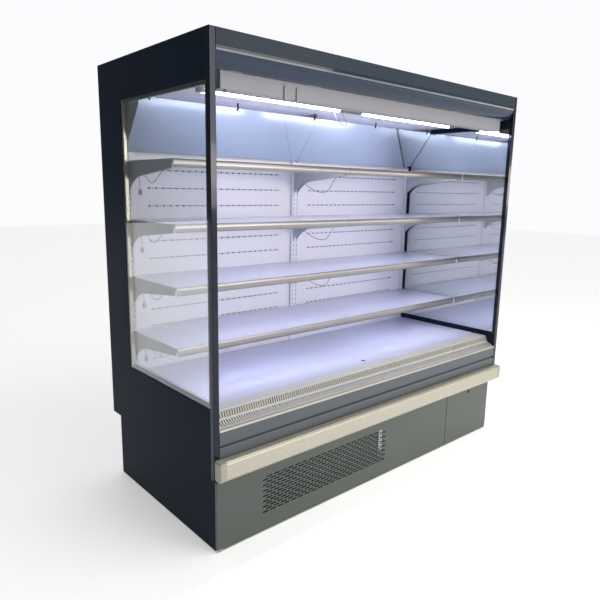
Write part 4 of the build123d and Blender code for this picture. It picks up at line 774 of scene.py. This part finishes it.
# ---------------------------------------------------------------- price rails
# Extruded aluminium, anodised a satin grey, along the front of every shelf: a bowed face 35 mm high
# between two lips, which holds the price strips. The bow throws one bright band along the rail. A
# black gasket fills the 2 mm between the two rails of a tier.
rail_grey = extrusion("satin_grey_anodised_aluminium", "#86868C", "#96969C", 0.20, grain=(3.0, 600.0, 600.0),
                      metal=0.5)
(rail_front, _), (rail_rear, _) = at_depth((313.7, 0), (319.7, 0))
rail_height, rail_bow, rail_step, rail_lip, bow_steps = 0.035, 0.0042, 0.0004, 0.35, 10
bow_turns = [rail_lip + step * (math.pi - 2 * rail_lip) / bow_steps for step in range(bow_steps + 1)]
rails = []
for top in shelf_tops:
    low_z = top - rail_height
    bow = [(rail_front + rail_bow * (1 - math.sin(turn)), low_z + rail_height / 2 * (1 - math.cos(turn)))
           for turn in bow_turns]
    path = [(rail_rear, low_z), (rail_front + rail_step, low_z), *bow, (rail_front + rail_step, top),
            (rail_rear, top)]
    for low_x, high_x in ((-1.012, -0.001), (0.001, 1.012)):
        rails.append(bent_sheet("price_rail", (low_x, high_x), path, skin=0.0010, faces=(0.0, 0.0, -1.0), bend=0.0))
rail_piece = join(rails, "price_rails_bowed")
bpy.ops.object.shade_smooth_by_angle(angle=0.5)
hang(rail_piece, "root", rail_grey, "aluminium", "price_rails")
gasket = 0.00095
joints = [block("rail_joint", (-gasket, rail_front + 0.001, top - rail_height), (gasket, rail_rear, top))
          for top in shelf_tops]
hang(join(joints, "price_rail_joints"), "root", black_nylon, "aluminium", "price_rails")


# ---------------------------------------------------------------- shelf lamps
# A lit strip under the front edge of each shelf: an opal cover on a thin aluminium channel. It
# shines down and back, so the goods and the wall behind them are lit and the shopper isn't dazzled.
strip_opal, strip_shader = new_finish("lit_opal_strip", "#F4F4FA", 0.35, Emission_Color=shade("#E6E8FF"),
                                      Emission_Strength=2.2)
mottle(strip_opal, strip_shader, "ShaderNodeTexNoise", {"Scale": 30.0}, "#EFEFF8", "#FAFAFF")
(strip_front, _), (strip_rear, _) = at_depth((326, 0), (346, 0))
strip_end, strip_side, shelf_skin = 0.006, 0.0015, 0.0015
covers, backs = [], []
for top in shelf_tops:
    high_z = top - shelf_skin
    for low_x, high_x in ((-0.972, -0.041), (0.041, 0.972)):
        cover = block("strip_cover", (low_x + strip_end, strip_front + strip_side, high_z - 0.012),
                      (high_x - strip_end, strip_rear - strip_side, high_z - 0.004))
        choose(cover, "EDGE", lambda spot, one: (spot.z < high_z - 0.011
                                                 and abs(one.verts[0].co.x - one.verts[1].co.x) > 0.1))
        bpy.ops.mesh.bevel(offset=0.004, segments=3, affect="EDGES")
        leave()
        covers.append(cover)
        backs.append(fold_tray("strip_channel", (low_x, strip_front, high_z - 0.0105), (high_x, strip_rear, high_z),
                               open_side=(0.0, 0.0, -1.0), skin=0.0012, bend=0.0006))
    for side, x in (("left", -0.508), ("right", 0.508)):
        soft_box(f"shelf_light_{side}", (x, (strip_front + strip_rear) / 2, high_z - 0.0135), (x, 0.06, top - 0.264),
                 width=0.92, height=0.018, power=1.9, colour="#DEE0FF")
hang(join(covers, "shelf_strip_covers"), "root", strip_opal, "lamp", "shelf_lamps")
hang(join(backs, "shelf_strip_channels"), "root", satin_aluminium, "lamp", "shelf_lamps")


# ---------------------------------------------------------------- deck trays
# Five lift-out trays of folded steel over the evaporator, in the same pearl white as the shelves.
# The middle one has a finger hole.
dress(shelf_coat, "deck_trays")


# ---------------------------------------------------------------- return air grille
# A bent sheet in front of the deck: cold air that spills forward is drawn in through a sloping band
# and a steep band of slots, 12.5 mm apart, under a plain ledge that meets the first trays.
grille_coat = powder_coat("cream_white_powder_coat", "#B4B4AE", "#BDBDB7", 0.34)
grille_low, grille_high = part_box("return_air_grille")
grille_path = at_depth((12, 508.3), (12, 517), (50, 537), (63, 571), (129, 571), (129, 548.7), (153, 548.7))
grille = bent_sheet("return_grille_slotted", (grille_low[0], grille_high[0]), grille_path, skin=0.0015,
                    faces=(0.0, -1.0, 0.0))
slot_pitch, slot_count, slot_width, grille_punch = 0.0125, 162, 0.0058, 0.05
slot_left = -slot_pitch * (slot_count - 1) / 2
slope_middle, riser_middle = at_depth((31, 527), (56.5, 554))
for middle, long_axis, cut_axis, length in ((slope_middle, back, up, 0.032), (riser_middle, up, back, 0.026)):
    tool = slot_punch("grille_punch", (slot_left, *middle), long_axis, cut_axis, length, slot_width, grille_punch)
    repeat(tool, slot_count, (slot_pitch, 0.0, 0.0))
    cut(grille, tool)
hang(grille, "root", grille_coat, "white_paint", "return_air_grille")


# ---------------------------------------------------------------- lamp leads
# Thin grey flex, 3.2 mm across: one hangs in a small loop between the two canopy lamps, and under
# each shelf one runs back from the left lamp and drops to a plug. Under the three upper shelves
# another loops to the middle upright. Routes are (x, depth, height) in millimetres from an origin.
lead_pvc = moulding("grey_flexible_pvc", "#83858C", "#95979E", 0.4, grain=0.08)
link_route = ((-50, 329, -19), (-48, 332, -33), (-30, 338, -49), (-8, 342, -64), (-13, 344, -81), (-38, 345, -79),
              (-62, 346, -62), (-86, 346, -41), (-98, 347, -20), (-99, 347, 0))
slack_route = ((36, 346, -8), (37, 390, -12), (38, 450, -24), (38, 512, -52), (37, 562, -90), (36, 606, -100),
               (35, 644, -76), (34, 664, -42), (33, 682, -14), (32, 702, -12), (31, 712, -40), (31, 705, -82),
               (31, 700, -128))
loop_route = ((36, 346, -8), (38, 400, -14), (41, 460, -34), (44, 503, -74), (46, 528, -114), (46, 574, -130),
              (42, 628, -124), (34, 668, -108), (20, 700, -84), (9, 716, -62), (9, 736, -62))


def lead(name, node, route, origin):
    """A round flex along a given route, its origin in x and height, with its real length."""
    knots = [(origin[0] + x / 1000, front_plane + depth / 1000, origin[1] + height / 1000)
             for x, depth, height in route]
    line = bpy.data.curves.new(name, "CURVE")
    line.dimensions = "3D"
    run = line.splines.new("NURBS")
    run.points.add(len(knots) - 1)
    for point, knot in zip(run.points, knots):
        point.co = (*knot, 1.0)
    run.order_u = 3
    run.use_endpoint_u = True
    line.resolution_u = 8
    line.bevel_depth = 0.0016
    line.bevel_resolution = 3
    line.use_fill_caps = True
    piece = bpy.data.objects.new(name, line)
    bpy.context.scene.collection.objects.link(piece)
    hang(piece, "root", lead_pvc, "lead", node)


lead("lamp_link_lead_flex", "lamp_link_lead", link_route, (0.0, ceiling_height))
slack_x, loop_x = -1.002, 0.012
plug_half_x, plug_half_y, plug_height = 0.007, 0.0045, 0.024
for tier, top in enumerate(shelf_tops, start=1):
    x, depth, height = slack_route[-1]
    plug_x, plug_y, plug_top = slack_x + x / 1000, front_plane + depth / 1000, top + height / 1000
    plug = block(f"lead_plug_{tier}", (plug_x - plug_half_x, plug_y - plug_half_y, plug_top - plug_height),
                 (plug_x + plug_half_x, plug_y + plug_half_y, plug_top))
    choose(plug, "FACE", lambda spot, one: one.normal.z < -0.9)
    bpy.ops.mesh.inset(thickness=0.0018)
    bpy.ops.mesh.extrude_region_move(TRANSFORM_OT_translate={"value": (0.0, 0.0, 0.006)})
    leave()
    choose(plug, "EDGE", lambda spot, one: abs(one.verts[0].co.z - one.verts[1].co.z) > 0.02)
    bpy.ops.mesh.bevel(offset=0.0015, segments=2, affect="EDGES")
    leave()
    hang(plug, "root", grey_abs, "grey_plastic", "lead_connectors")
    lead(f"slack_lead_{tier}", "shelf_lamp_leads", slack_route, (slack_x, top))
    if tier > 1:
        lead(f"loop_lead_{tier}", "shelf_lamp_leads", loop_route, (loop_x, top))
